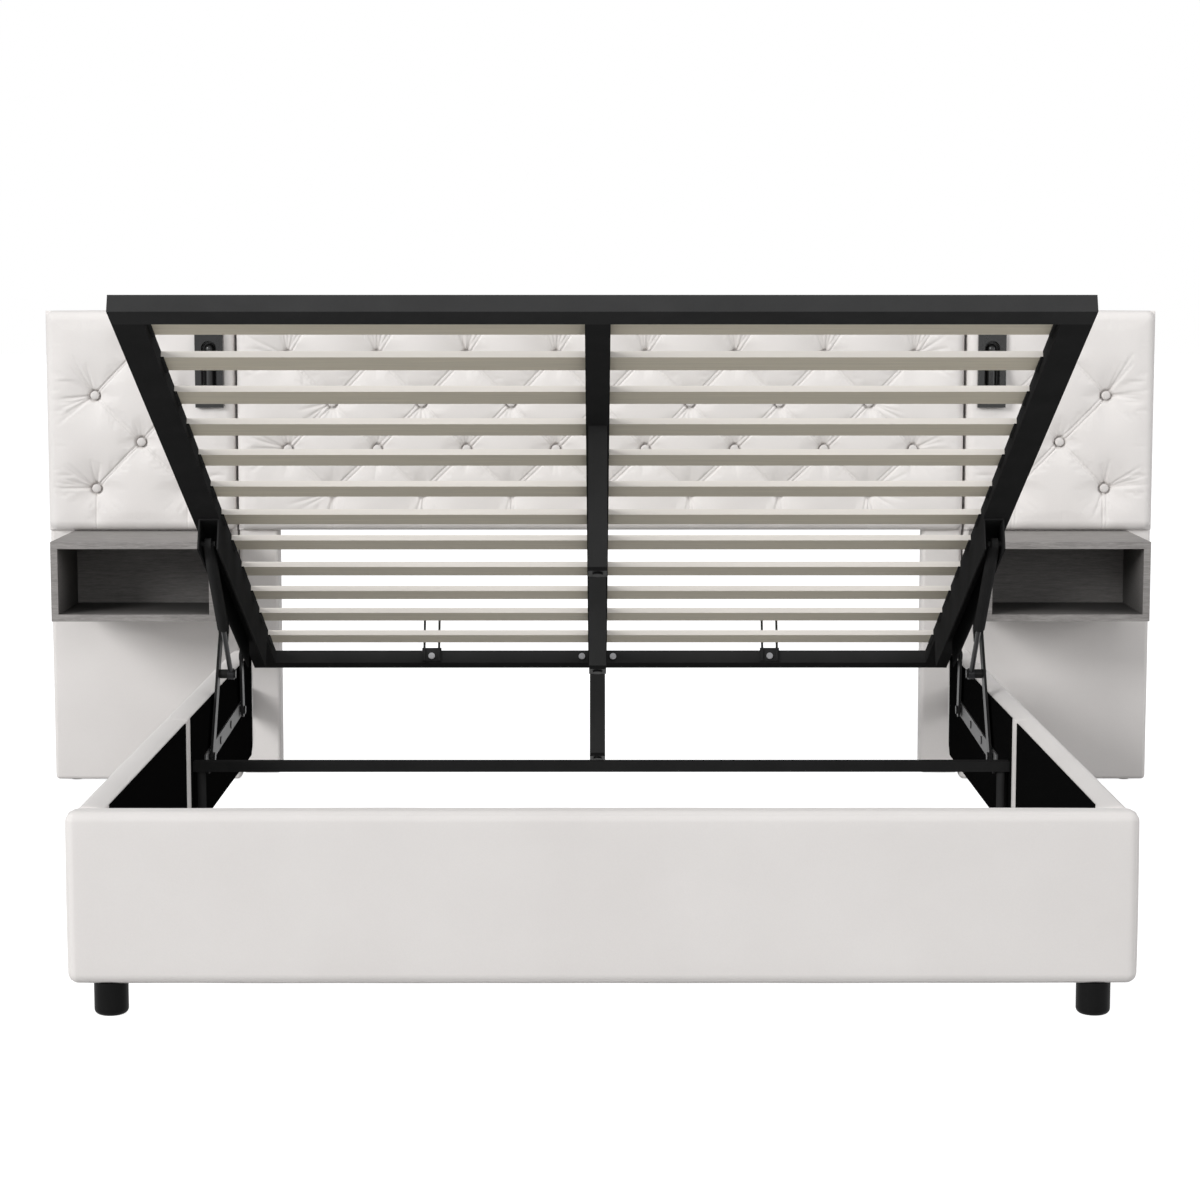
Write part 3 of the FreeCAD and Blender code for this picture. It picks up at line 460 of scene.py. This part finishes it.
def rail_wrap(piece_name, node, seed):
    """Upholstered rail: its section run along Y, with tight ends where the next piece meets it."""
    lo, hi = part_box(node)
    sign = 1 if lo.x > 0 else -1
    inner_x = min(abs(lo.x), abs(hi.x))
    section = rail_profile(hi.x - lo.x, lo.z, hi.z)
    middle = section.mean(axis=0)
    ends = [(0.0, RAIL_TIGHT), (RAIL_TIGHT_ROW, RAIL_TIGHT * 0.4), (RAIL_TIGHT, 0.0)]
    count = max(2, int((hi.y - lo.y) / RAIL_ROW_STEP))
    at_head = "rear" in node
    rows = [(lo.y + d, cut) for d, cut in ends]
    rows += [(y, 0.0) for y in np.linspace(lo.y + RAIL_FIRST_ROW, hi.y - RAIL_LAST_ROW, count)]
    rows += [(hi.y - d, 0.0) for d in RAIL_END_ROWS]
    rows += [(hi.y - d, cut) for d, cut in reversed(ends)]
    verts = []
    for y, cut in rows:
        away = section - middle
        loop = section - away / np.linalg.norm(away, axis=1, keepdims=True) * cut
        if at_head:
            left = max(0.0, 1 - (hi.y - y) / RAIL_CUT_REACH)
            base = lo.z + RAIL_END_CUT * left ** RAIL_CUT_CURVE
            loop[:, 1] = hi.z - (hi.z - loop[:, 1]) * (hi.z - base) / (hi.z - lo.z)
        verts.append(np.stack([sign * (inner_x + loop[:, 0]), np.full(len(loop), y), loop[:, 1]], 1))
    verts = np.concatenate(verts)
    across = np.clip((np.abs(verts[:, 0]) - inner_x) / RAIL_RIPPLE_FROM, 0, 1)
    lift = soft_noise(*verts.T, RAIL_RIPPLE_UP, seed) * RAIL_RIPPLE * across
    verts[:, 2] += lift * (verts[:, 2] > RAIL_TOP_FROM)
    verts[:, 0] += soft_noise(*verts.T, RAIL_RIPPLE_OUT, seed + 9) * RAIL_RIPPLE * across
    n = len(section)
    faces = []
    for r in range(len(rows) - 1):
        for k in range(n):
            quad = (r * n + k, r * n + (k + 1) % n, (r + 1) * n + (k + 1) % n, (r + 1) * n + k)
            faces.append(quad if sign < 0 else quad[::-1])
    first = list(range(n))
    last = [(len(rows) - 1) * n + k for k in range(n)]
    faces.append(first[::-1] if sign < 0 else first)
    faces.append(last if sign < 0 else last[::-1])
    obj = mesh_object(piece_name, verts, faces, "cream_upholstery")
    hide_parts(node)
    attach(obj, "bed_box")


# Bed box: footboard and half rails
FOOT_LOW, FOOT_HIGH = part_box("footboard_cover")
FOOT_FULL = Vector((0.003, 0, 0))
FOOT_ROUND = 0.016
FOOT_CROWN = 0.0012
foot_box = (FOOT_LOW - FOOT_FULL, FOOT_HIGH + FOOT_FULL)
wrap_node("footboard_upholstery", "footboard_cover", [foot_box], FOOT_ROUND, FOOT_CROWN, 20)
for seed, end_name in enumerate(("front_left", "front_right", "rear_left", "rear_right")):
    rail_wrap("rail_upholstery_" + end_name, "rail_cover_" + end_name, 30 + seed)

# Headboard panels behind the pads
CENTRE_LOW, CENTRE_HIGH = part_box("headboard_centre_frame")
PAD_LOW, PAD_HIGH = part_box("headboard_centre_pad")
PILLAR_WIDE = 0.087
PILLAR_LAP = 0.02
PANEL_ROUND = 0.008
PANEL_CROWN = 0.001
pillar_boxes = []
for side in (-1, 1):
    inner = side * (CENTRE_HIGH.x - PILLAR_WIDE)
    outer = side * CENTRE_HIGH.x
    pillar_boxes.append((Vector((min(inner, outer), CENTRE_LOW.y, CENTRE_LOW.z)),
                         Vector((max(inner, outer), CENTRE_HIGH.y, PAD_LOW.z + PILLAR_LAP))))
panel_box = (Vector((CENTRE_LOW.x, CENTRE_LOW.y, PAD_LOW.z)), CENTRE_HIGH)
wrap_node("headboard_panel_centre", "headboard_centre_frame", [panel_box] + pillar_boxes,
          PANEL_ROUND, PANEL_CROWN, 40)
for side_name in ("left", "right"):
    node = "wing_frame_" + side_name
    wrap_node("headboard_panel_" + side_name, node, [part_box(node)], PANEL_ROUND, PANEL_CROWN, 44)


# Tufted pads
PIT_DEEP = 0.015
PIT_REACH = 0.020
PIT_FLOOR = 0.009
PIT_HELD = 0.013
SEAM_DEEP = 0.009
SEAM_REACH = 0.012
SEAM_FOLD = 0.0046
FOLD_HALF = 0.0015
# Each seam is one or two folds: how far from the line, and how deep.
WIDE_FOLD = ((-0.0042, 0.7), (0.0042, 1.0))
NARROW_FOLD = ((-0.0027, 1.0), (0.0027, 0.65))
FAINT_FOLD = ((-0.0026, 0.6), (0.0026, 0.5))
SINGLE_FOLD = ((0.0, 1.0),)
RIM_LIFT = 0.7
RIM_REACH = 0.035
# Within this distance of the edge the relief fades out.
EDGE_FADE = 0.045
PAD_RIPPLE_PITCH = 0.12
PAD_RIPPLE = 0.0005
PLEAT_HALF = 0.0018
PLEAT_WIDEN = 0.0030
# Under each button the cloth is pressed in, this deep and this far round its middle.
BUTTON_SEAT_DEEP = 0.009
BUTTON_SEAT_RADIUS = 0.0130
# The pad lies over the lamp's plate by this lap, and steps down to it over the next grid line.
RECESS_LAP = 0.002
RECESS_STEP = 0.0006
RECESS_SLACK = 0.0001
RECESS_BACK = 0.001
PAD_BACK = 0.0015
PUFF = 0.011
PAD_ROUND = 0.022
PAD_STEP = 0.0017
CLOTH_STEP = 0.0065
CENTRE_PITCH = 0.2
ROW_HEIGHTS = (0.659, 0.7547, 0.8593, 0.964)
WING_ROW_LOW = 0.667
WING_ROW_STEP = 0.1040
WING_HALF = 0.102
# The creases above the top row lean this far to the right and stop short of the edge.
TOP_CREASE_LEAN = 0.055
TOP_CREASE_SHORT = 0.015
CLOTH_FRAMES = 16
# How strongly the seams below the lowest row and above the top one draw the cloth in.
LOW_SEAM = 0.5
WING_LOW_SEAM = 0.9
TOP_SEAM = 0.8
SAME_POINT = 0.01
# How far from the edge and from a seam the cloth is held, in steps of its grid,
# and the least weight that holds.
EDGE_HELD = 0.6
SEAM_HELD = 0.55
LEAST_HELD = 0.01
LEAST_DEPTH = 0.001
# Shares of a seam's depth and of its folds that are left at its middle,
# and of the folds' depth left at the pad's edge.
SEAM_SAG = 0.45
FOLD_SAG = 0.6
EDGE_FOLD = 0.35
# A pleat rises within a sixth of its length and dies away in a curve. Its turn, length and depth vary.
PLEAT_RISE = 6
PLEAT_FADE = 0.7
TURN_SPREAD = (-0.06, 0.06)
LENGTH_SPREAD = (0.7, 1.15)
DEPTH_SPREAD = (0.6, 1.2)


def segment_field(x, z, start, end):
    """Distance to a segment, signed distance across its line, and the share of the way along it."""
    dx, dz = end[0] - start[0], end[1] - start[1]
    length = math.hypot(dx, dz)
    t = np.clip(((x - start[0]) * dx + (z - start[1]) * dz) / length ** 2, 0, 1)
    across = ((x - start[0]) * dz - (z - start[1]) * dx) / length
    gap = np.hypot(x - start[0] - t * dx, z - start[1] - t * dz)
    return gap, across, t


def sagging(t, least):
    """Share that is 1 at both ends of a seam and least at its middle."""
    return least + (1 - least) * (2 * t - 1) ** 2


def grid_faces(count_x, count_z):
    """Quads of a grid whose points run up Z first, then along X."""
    faces = []
    for i in range(count_x - 1):
        for j in range(count_z - 1):
            k = i * count_z + j
            faces.append((k, k + count_z, k + count_z + 1, k + 1))
    return faces


def inflate(verts, faces, held):
    """Cloth simulation of a sheet under pressure, held where it has weights: each point's Y afterwards."""
    mesh = bpy.data.meshes.new("pad_sheet")
    mesh.from_pydata([tuple(v) for v in verts], [], faces)
    sheet = bpy.data.objects.new("pad_sheet", mesh)
    bpy.context.scene.collection.objects.link(sheet)
    group = sheet.vertex_groups.new(name="held")
    for k, weight in enumerate(held):
        if weight > LEAST_HELD:
            group.add([k], float(min(weight, 1.0)), "REPLACE")
    cloth = sheet.modifiers.new("cloth", "CLOTH")
    settings = cloth.settings
    settings.quality = 5
    settings.mass = 0.25
    settings.tension_stiffness = 6
    settings.compression_stiffness = 6
    settings.shear_stiffness = 3
    settings.bending_stiffness = 0.6
    settings.vertex_group_mass = "held"
    settings.use_pressure = True
    settings.uniform_pressure_force = 4.0
    settings.effector_weights.gravity = 0
    settings.shrink_min = -0.008
    scene = bpy.context.scene
    cloth.point_cache.frame_start = 1
    cloth.point_cache.frame_end = CLOTH_FRAMES
    for number in range(1, CLOTH_FRAMES + 1):
        scene.frame_set(number)
    shaped = sheet.evaluated_get(bpy.context.evaluated_depsgraph_get())
    flat = np.zeros(len(verts) * 3, np.float32)
    shaped.data.vertices.foreach_get("co", flat)
    scene.frame_set(1)
    bpy.data.objects.remove(sheet)
    bpy.data.meshes.remove(mesh)
    return flat.reshape(-1, 3)[:, 1]


def puffed_sheet(lo, hi, buttons, creases):
    """Cloth blown up between buttons, seams and edges: grid lines, and how far each point is drawn in."""
    xs = np.linspace(lo.x, hi.x, int((hi.x - lo.x) / CLOTH_STEP) + 1)
    zs = np.linspace(lo.z, hi.z, int((hi.z - lo.z) / CLOTH_STEP) + 1)
    x, z = np.meshgrid(xs, zs, indexing="ij")
    edge = np.minimum(np.minimum(x - lo.x, hi.x - x), np.minimum(z - lo.z, hi.z - z))
    depth = PUFF * (1 - RIM_LIFT * np.exp(-edge / RIM_REACH))
    held = np.where(edge < CLOTH_STEP * EDGE_HELD, 1.0, 0.0)
    for start, end, _, strength in creases:
        gap, _, t = segment_field(x, z, start, end)
        sag = sagging(t, SEAM_SAG)
        depth = np.maximum(depth, PUFF + SEAM_DEEP * sag * strength * np.exp(-gap / SEAM_REACH))
        held = np.maximum(held, np.where(gap < CLOTH_STEP * SEAM_HELD, strength, 0.0))
    for bx, bz in buttons:
        r = np.hypot(x - bx, z - bz)
        depth = np.maximum(depth, PUFF + PIT_DEEP * np.exp(-(np.maximum(r - PIT_FLOOR, 0) / PIT_REACH)))
        held = np.maximum(held, np.where(r < PIT_HELD, 1.0, 0.0))
    verts = np.stack([x.ravel(), depth.ravel(), z.ravel()], 1)
    blown = inflate(verts, grid_faces(*x.shape), held.ravel())
    moved = blown.reshape(x.shape) - depth
    limit = np.minimum(depth, PUFF) - LEAST_DEPTH
    moved = limit * np.tanh(moved / limit)
    return xs, zs, depth + moved


def sample(xs, zs, field, x, z):
    """Smooth lookup of a grid field at other points."""
    u = (x - xs[0]) / (xs[1] - xs[0])
    v = (z - zs[0]) / (zs[1] - zs[0])
    i = np.clip(np.floor(u).astype(int), 0, len(xs) - 2)
    j = np.clip(np.floor(v).astype(int), 0, len(zs) - 2)
    a, b = u - i, v - j
    low = field[i, j] * (1 - a) + field[i + 1, j] * a
    high = field[i, j + 1] * (1 - a) + field[i + 1, j + 1] * a
    return low * (1 - b) + high * b


def fold_depth(x, z, creases, pleats):
    """Folds along the seams, and pleats that run out from the buttons."""
    total = np.zeros_like(x)
    for start, end, folds, strength in creases:
        gap, across, t = segment_field(x, z, start, end)
        sag = sagging(t, FOLD_SAG)
        beyond = gap - np.minimum(gap, np.abs(across))
        for offset, weight in folds:
            shifted = np.hypot(beyond, across - offset)
            total += strength * weight * SEAM_FOLD * sag * np.exp(-(shifted / FOLD_HALF) ** 2)
    for bx, bz, angle, length, depth in pleats:
        end = (bx + length * math.cos(angle), bz + length * math.sin(angle))
        gap, _, t = segment_field(x, z, (bx, bz), end)
        half = PLEAT_HALF + PLEAT_WIDEN * t
        fade = np.clip(t * PLEAT_RISE, 0, 1) * (1 - t) ** PLEAT_FADE
        total += depth * fade * np.exp(-(gap / half) ** 2)
    return total


def fan(bx, bz, angle, spread, count, length, depth):
    """Pleats that fan out from a button."""
    out = []
    for i in range(count):
        share = (i + 0.5) / count - 0.5
        turn = angle + spread * share + RNG.uniform(*TURN_SPREAD)
        out.append((bx, bz, turn, length * RNG.uniform(*LENGTH_SPREAD), depth * RNG.uniform(*DEPTH_SPREAD)))
    return out


def tufted_pad(piece_name, node, buttons, creases, pleats, lamp=None):
    """Tufted pad that stands for a CAD node, with a recess for the lamp's plate where it has one."""
    lo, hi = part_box(node)
    xs = stations(lo.x, hi.x, PAD_ROUND, PAD_STEP)
    zs = stations(lo.z, hi.z, PAD_ROUND, PAD_STEP)
    if lamp:
        edges = [lamp[0].x + RECESS_LAP, lamp[1].x - RECESS_LAP]
        xs = np.unique(np.concatenate([xs, edges, [e + RECESS_STEP for e in edges]]))
        edges = [lamp[0].z + RECESS_LAP, lamp[1].z - RECESS_LAP]
        zs = np.unique(np.concatenate([zs, edges, [e + RECESS_STEP for e in edges]]))
    x, z = np.meshgrid(xs, zs, indexing="ij")
    near_x = np.minimum(x - lo.x, hi.x - x)
    near_z = np.minimum(z - lo.z, hi.z - z)
    inset = np.hypot(np.clip(PAD_ROUND - near_x, 0, PAD_ROUND), np.clip(PAD_ROUND - near_z, 0, PAD_ROUND))
    drop = PAD_ROUND * (1 - np.sqrt(np.clip(1 - (inset / PAD_ROUND) ** 2, 0, 1)))
    puff = sample(*puffed_sheet(lo, hi, buttons, creases), x, z)
    inner = np.clip(np.minimum(near_x, near_z) / EDGE_FADE, 0, 1)
    inner = inner * inner * (3 - 2 * inner)
    folds = fold_depth(x, z, creases, pleats) * (EDGE_FOLD + (1 - EDGE_FOLD) * inner)
    ripple = soft_noise(x, x * 0, z, PAD_RIPPLE_PITCH, 5) * PAD_RIPPLE
    level = float(np.median(puff))
    y = lo.y + drop + level + (puff - level) * inner + folds + ripple
    for bx, bz in buttons:
        r = np.hypot(x - bx, z - bz)
        y = y + BUTTON_SEAT_DEEP * np.exp(-(r / BUTTON_SEAT_RADIUS) ** 6)
    if lamp:
        first = RECESS_LAP - RECESS_SLACK
        last = RECESS_LAP - RECESS_STEP - RECESS_SLACK
        inside = (x > lamp[0].x + first) & (x < lamp[1].x - last)
        inside &= (z > lamp[0].z + first) & (z < lamp[1].z - last)
        y = np.where(inside, lamp[1].y + RECESS_BACK, y)
    y = np.minimum(y, hi.y - PAD_BACK)
    count_x, count_z = x.shape
    verts = [tuple(p) for p in np.stack([x.ravel(), y.ravel(), z.ravel()], 1)]
    faces = grid_faces(count_x, count_z)
    rim = [i * count_z for i in range(count_x)]
    rim += [(count_x - 1) * count_z + j for j in range(1, count_z)]
    rim += [i * count_z + count_z - 1 for i in range(count_x - 2, -1, -1)]
    rim += [j for j in range(count_z - 2, 0, -1)]
    base = len(verts)
    for i in rim:
        verts.append((verts[i][0], hi.y, verts[i][2]))
    for k in range(len(rim)):
        n = (k + 1) % len(rim)
        faces.append((rim[n], rim[k], base + k, base + n))
    faces.append(tuple(base + k for k in range(len(rim) - 1, -1, -1)))
    obj = mesh_object(piece_name, verts, faces, "cream_upholstery")
    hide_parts(node)
    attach(obj, "bed_box")


# A covered button's rings from the back to the front: radius, and depth from the seat's plane.
BUTTON_RINGS = ((0.0094, 0.008), (0.0098, 0.002), (0.0096, -0.0010),
                (0.0086, -0.0026), (0.0060, -0.0034), (0.0030, -0.0037))
BUTTON_TIP = -0.0038
BUTTON_SIDES = 28


def button_pieces(piece_name, node, buttons, face_y):
    """Covered buttons: low domes with a turned-in rim, seated in the tufts."""
    parts = []
    for bx, bz in buttons:
        verts = []
        faces = []
        for radius, rise in BUTTON_RINGS:
            for k in range(BUTTON_SIDES):
                a = 2 * math.pi * k / BUTTON_SIDES
                verts.append((bx + radius * math.cos(a), face_y + rise, bz + radius * math.sin(a)))
        top = (len(BUTTON_RINGS) - 1) * BUTTON_SIDES
        for low in range(0, top, BUTTON_SIDES):
            high = low + BUTTON_SIDES
            for k in range(BUTTON_SIDES):
                n = (k + 1) % BUTTON_SIDES
                faces.append((low + k, low + n, high + n, high + k))
        tip = len(verts)
        verts.append((bx, face_y + BUTTON_TIP, bz))
        for k in range(BUTTON_SIDES):
            faces.append((top + k, top + (k + 1) % BUTTON_SIDES, tip))
        faces.append(tuple(range(BUTTON_SIDES - 1, -1, -1)))
        parts.append((np.array(verts), faces))
    verts, faces = join_meshes(parts)
    obj = mesh_object(piece_name, verts, faces, "cream_upholstery")
    # The buttons take the cream with painted shade.
    obj.data.materials[0] = MATERIALS["button_cover"]
    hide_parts(node)
    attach(obj, "bed_box")


# Centre pad and its buttons
BUTTON_PROUD = 0.004
BUTTON_FACE = PAD_LOW.y + PUFF + PIT_DEEP - BUTTON_PROUD
centre_rows = []
for row in range(4):
    columns = range(-3, 4) if row % 2 == 0 else [i + 0.5 for i in range(-4, 4)]
    centre_rows.append([(i * CENTRE_PITCH, ROW_HEIGHTS[row]) for i in columns])
centre_points = [p for row in centre_rows for p in row]
centre_creases = []
centre_pleats = []
for row in range(3):
    for bx, bz in centre_rows[row]:
        for side in (-1, 1):
            other = (bx + side * CENTRE_PITCH / 2, ROW_HEIGHTS[row + 1])
            if any(math.dist(other, p) < SAME_POINT for p in centre_rows[row + 1]):
                folds = WIDE_FOLD if side > 0 else FAINT_FOLD
                centre_creases.append(((bx, bz), other, folds, 1.0))
for bx, bz in centre_rows[0]:
    centre_creases.append(((bx, bz), (bx, PAD_LOW.z), SINGLE_FOLD, LOW_SEAM))
for bx, bz in centre_rows[3]:
    crease_end = (bx + TOP_CREASE_LEAN, PAD_HIGH.z - TOP_CREASE_SHORT)
    centre_creases.append(((bx, bz), crease_end, WIDE_FOLD, TOP_SEAM))
# Each row of the centre pad: where its pleats point, how wide they fan, their number, length and depth.
CENTRE_FANS = (
    ((-math.pi / 2, 0.6, 3, 0.085, 0.0046),),
    ((math.pi / 2, 1.1, 4, 0.055, 0.0038), (-math.pi / 2, 0.3, 2, 0.065, 0.0032)),
    ((-math.pi / 2, 0.9, 3, 0.05, 0.0034),),
    ((math.pi / 2, 0.8, 4, 0.09, 0.0046),),
)
# The outermost buttons also have pleats that run to the pad's side.
SIDE_FAN = (1.3, 5, 0.095, 0.0042)
SIDE_FAN_FROM = 0.59
for row, points in enumerate(centre_rows):
    for bx, bz in points:
        for pleat_fan in CENTRE_FANS[row]:
            centre_pleats += fan(bx, bz, *pleat_fan)
        if abs(bx) > SIDE_FAN_FROM:
            centre_pleats += fan(bx, bz, 0 if bx > 0 else math.pi, *SIDE_FAN)
tufted_pad("headboard_tufting_centre", "headboard_centre_pad", centre_points, centre_creases, centre_pleats)
button_pieces("covered_buttons_centre", "centre_buttons", centre_points, BUTTON_FACE)

# Wing pads and their buttons
# Fans of pleats at a wing's outer lower (0), outer upper (3), inner (1, 4) and middle (2) buttons:
# the button, where the pleats point, how wide they fan, their number, length and depth.
WING_FANS = {
    "left": ((3, math.pi + 0.42, 0.8, 4, 0.10, 0.0046), (3, math.pi / 2 + 0.43, 0.6, 3, 0.095, 0.0042),
             (0, math.pi - 0.12, 0.5, 4, 0.10, 0.0044), (0, math.pi - 0.67, 0.35, 2, 0.10, 0.0040),
             (0, math.pi / 2, 0.6, 3, 0.075, 0.0040), (1, 0.0, 1.1, 4, 0.08, 0.0036),
             (4, 0.0, 1.1, 4, 0.08, 0.0036), (2, math.pi / 2, 1.0, 3, 0.05, 0.0028)),
    "right": ((3, -0.02, 0.3, 3, 0.10, 0.0044), (3, math.pi / 2 - 0.50, 0.5, 3, 0.10, 0.0046),
              (0, 0.30, 0.6, 5, 0.10, 0.0046), (0, math.pi / 2, 0.5, 3, 0.065, 0.0042),
              (0, -math.pi / 2 - 0.35, 0.1, 1, 0.065, 0.0036), (1, math.pi, 1.1, 4, 0.08, 0.0036),
              (4, math.pi, 1.1, 4, 0.08, 0.0036), (2, math.pi / 2, 1.0, 3, 0.05, 0.0028)),
}
# Folds of a wing's rising seams, and of those that run down from the lowest buttons.
WING_SEAM = {"left": (NARROW_FOLD, SINGLE_FOLD), "right": (WIDE_FOLD, WIDE_FOLD)}
WING_LINKS = ((0, 2), (1, 2), (2, 3), (2, 4), (3, 5), (4, 5))
all_wing_points = []
for side_name, sign in (("left", -1), ("right", 1)):
    node = "wing_pad_" + side_name
    lo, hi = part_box(node)
    centre_x = (lo.x + hi.x) / 2
    outer_x, inner_x = centre_x + sign * WING_HALF, centre_x - sign * WING_HALF
    rows = [WING_ROW_LOW + i * WING_ROW_STEP for i in range(4)]
    points = [(outer_x, rows[0]), (inner_x, rows[0]), (centre_x, rows[1]),
              (outer_x, rows[2]), (inner_x, rows[2]), (centre_x, rows[3])]
    slanted, upright = WING_SEAM[side_name]
    creases = []
    for a, b in WING_LINKS:
        folds = slanted if points[b][0] > points[a][0] else FAINT_FOLD
        creases.append((points[a], points[b], folds, 1.0))
    creases += [(points[i], (points[i][0], lo.z), upright, WING_LOW_SEAM) for i in (0, 1)]
    creases.append((points[5], (centre_x, hi.z), SINGLE_FOLD, TOP_SEAM))
    pleats = []
    for i, *pleat_fan in WING_FANS[side_name]:
        pleats += fan(*points[i], *pleat_fan)
    lamp_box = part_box("lamp_plate_" + side_name)
    tufted_pad("headboard_tufting_" + side_name, node, points, creases, pleats, lamp_box)
    all_wing_points += points
button_pieces("covered_buttons_wings", "wing_buttons", all_wing_points, BUTTON_FACE)

# CAD nodes that stay: finish by slot, and a fine edge break on the hard pieces
EDGE_BREAK = {"black_steel": 0.0012, "slat_wood": 0.0012, "grey_oak": 0.0008, "black_plastic": 0.0010,
              "zinc": 0.0005}
EDGE_ANGLE = math.radians(50)
SATIN_NODES = ("front_arms", "rear_arms", "arm_pins", "base_pins", "strut_pins", "plate_screws",
               "crossbar_bolts")
# Shelf sides and bottoms take oak with painted shade inside; the backs a darker copy, also painted shade.
PAIRED_FINISH = {"shelf_back_": "dark_oak", "shelf_sides_": "inner_oak", "shelf_bottom_": "inner_oak",
                 "lamp_plate_": "lamp_black", "lamp_head_": "lamp_black"}
# The crossbar's darker steel is painted shade.
# The front beam's lighter steel is painted light.
OTHER_FINISH = {"lower_plates": "plate_grey", "frame_front_beam": "front_steel", "crossbar": "bar_steel"}
for name in SATIN_NODES:
    OTHER_FINISH[name] = "satin_steel"
for stem, finish in PAIRED_FINISH.items():
    for side_name in ("left", "right"):
        OTHER_FINISH[stem + side_name] = finish
for name, obj in NODES.items():
    slot_name = SLOTS[name]
    obj.data.materials.clear()
    obj.data.materials.append(MATERIALS[OTHER_FINISH.get(name, slot_name)])
    width = EDGE_BREAK.get(slot_name)
    if width and not obj.hide_render:
        bevel = obj.modifiers.new("edge_break", "BEVEL")
        bevel.width = width
        bevel.segments = 2
        bevel.limit_method = "ANGLE"
        bevel.angle_limit = EDGE_ANGLE
        bevel.harden_normals = False

# Floor, light and camera
FLOOR_REACH = 40.0
FLOOR_DROP = 0.0005
FLOOR_GLOW = 0.93
FLOOR_SHADE = 0.46
WORLD_LIGHT = 0.36


def make_white(name):
    """White to the camera and to mirrors, with a soft share of the lit floor for the shadow."""
    mat = bpy.data.materials.new(name)
    mat.use_nodes = True
    tree = mat.node_tree
    tree.nodes.clear()
    path = add(tree, "ShaderNodeLightPath")
    seen = add(tree, "ShaderNodeMath", operation="MAXIMUM")
    tree.links.new(path.outputs["Is Camera Ray"], seen.inputs[0])
    tree.links.new(path.outputs["Is Glossy Ray"], seen.inputs[1])
    share = add(tree, "ShaderNodeMath", operation="MULTIPLY")
    share.inputs[1].default_value = FLOOR_GLOW
    tree.links.new(seen.outputs[0], share.inputs[0])
    lit = add(tree, "ShaderNodeBsdfDiffuse")
    lit.inputs["Color"].default_value = (*grey(FLOOR_SHADE), 1)
    glow = add(tree, "ShaderNodeEmission")
    tree.links.new(share.outputs[0], glow.inputs["Strength"])
    blend = add(tree, "ShaderNodeAddShader")
    tree.links.new(lit.outputs[0], blend.inputs[0])
    tree.links.new(glow.outputs[0], blend.inputs[1])
    out = add(tree, "ShaderNodeOutputMaterial")
    tree.links.new(blend.outputs[0], out.inputs["Surface"])
    return mat


floor_mesh = bpy.data.meshes.new("floor")
corners = [(x * FLOOR_REACH, y * FLOOR_REACH, 0) for x, y in ((-1, -1), (1, -1), (1, 1), (-1, 1))]
floor_mesh.from_pydata(corners, [], [(0, 1, 2, 3)])
floor_mesh.materials.append(make_white("floor_white"))
floor = bpy.data.objects.new("floor", floor_mesh)
bpy.context.scene.collection.objects.link(floor)
floor.location.z = -FLOOR_DROP

world = bpy.data.worlds.new("studio")
bpy.context.scene.world = world
world.use_nodes = True
tree = world.node_tree
background = tree.nodes["Background"]
path = add(tree, "ShaderNodeLightPath")
white = add(tree, "ShaderNodeBackground")
white.inputs["Color"].default_value = (1, 1, 1, 1)
background.inputs["Color"].default_value = (0.97, 0.98, 1.0, 1)
background.inputs["Strength"].default_value = WORLD_LIGHT
either = add(tree, "ShaderNodeMath", operation="MAXIMUM")
tree.links.new(path.outputs["Is Camera Ray"], either.inputs[0])
tree.links.new(path.outputs["Is Transmission Ray"], either.inputs[1])
choose = add(tree, "ShaderNodeMixShader")
tree.links.new(either.outputs[0], choose.inputs["Fac"])
tree.links.new(background.outputs[0], choose.inputs[1])
tree.links.new(white.outputs[0], choose.inputs[2])
tree.links.new(choose.outputs[0], tree.nodes["World Output"].inputs["Surface"])


def area_light(name, place, target, size, power):
    """Rectangular light at a place, turned to its target."""
    light = bpy.data.lights.new(name, "AREA")
    light.shape = "RECTANGLE"
    light.size, light.size_y = size
    light.energy = power
    obj = bpy.data.objects.new(name, light)
    bpy.context.scene.collection.objects.link(obj)
    obj.location = place
    obj.rotation_euler = (Vector(target) - Vector(place)).to_track_quat("-Z", "Y").to_euler()


area_light("key", (-14.0, -14.0, 8.6), (0, 0, 0.5), (8.0, 8.0), 2900)
area_light("fill", (1.5, -11.0, 3.8), (0, 0, 0.5), (4.0, 4.0), 150)
area_light("side_left", (-5.5, -1.2, 1.3), (0, 0.5, 0.4), (2.0, 2.0), 20)
area_light("side_right", (5.2, -1.5, 1.9), (0, 0.5, 0.4), (2.0, 2.0), 62)
area_light("top", (0, 0.2, 4.2), (0, 0.2, 0), (3.0, 3.0), 44)

# The photograph's lens and frame in pixels, and the camera fitted to it.
LENS_PX = 2833.0
FRAME_PX = 1200.0
SENSOR_MM = 36.0
PITCH_DOWN = math.radians(6.365)
YAW = -0.0012
CAMERA_PLACE = (-0.0088, -5.3418, 1.12256)
camera_data = bpy.data.cameras.new("camera")
camera_data.sensor_width = SENSOR_MM
camera_data.lens = SENSOR_MM * LENS_PX / FRAME_PX
camera = bpy.data.objects.new("camera", camera_data)
bpy.context.scene.collection.objects.link(camera)
camera.location = CAMERA_PLACE
camera.rotation_euler = (math.pi / 2 - PITCH_DOWN, 0, YAW)
bpy.context.scene.camera = camera
bpy.context.scene.view_settings.view_transform = "Standard"
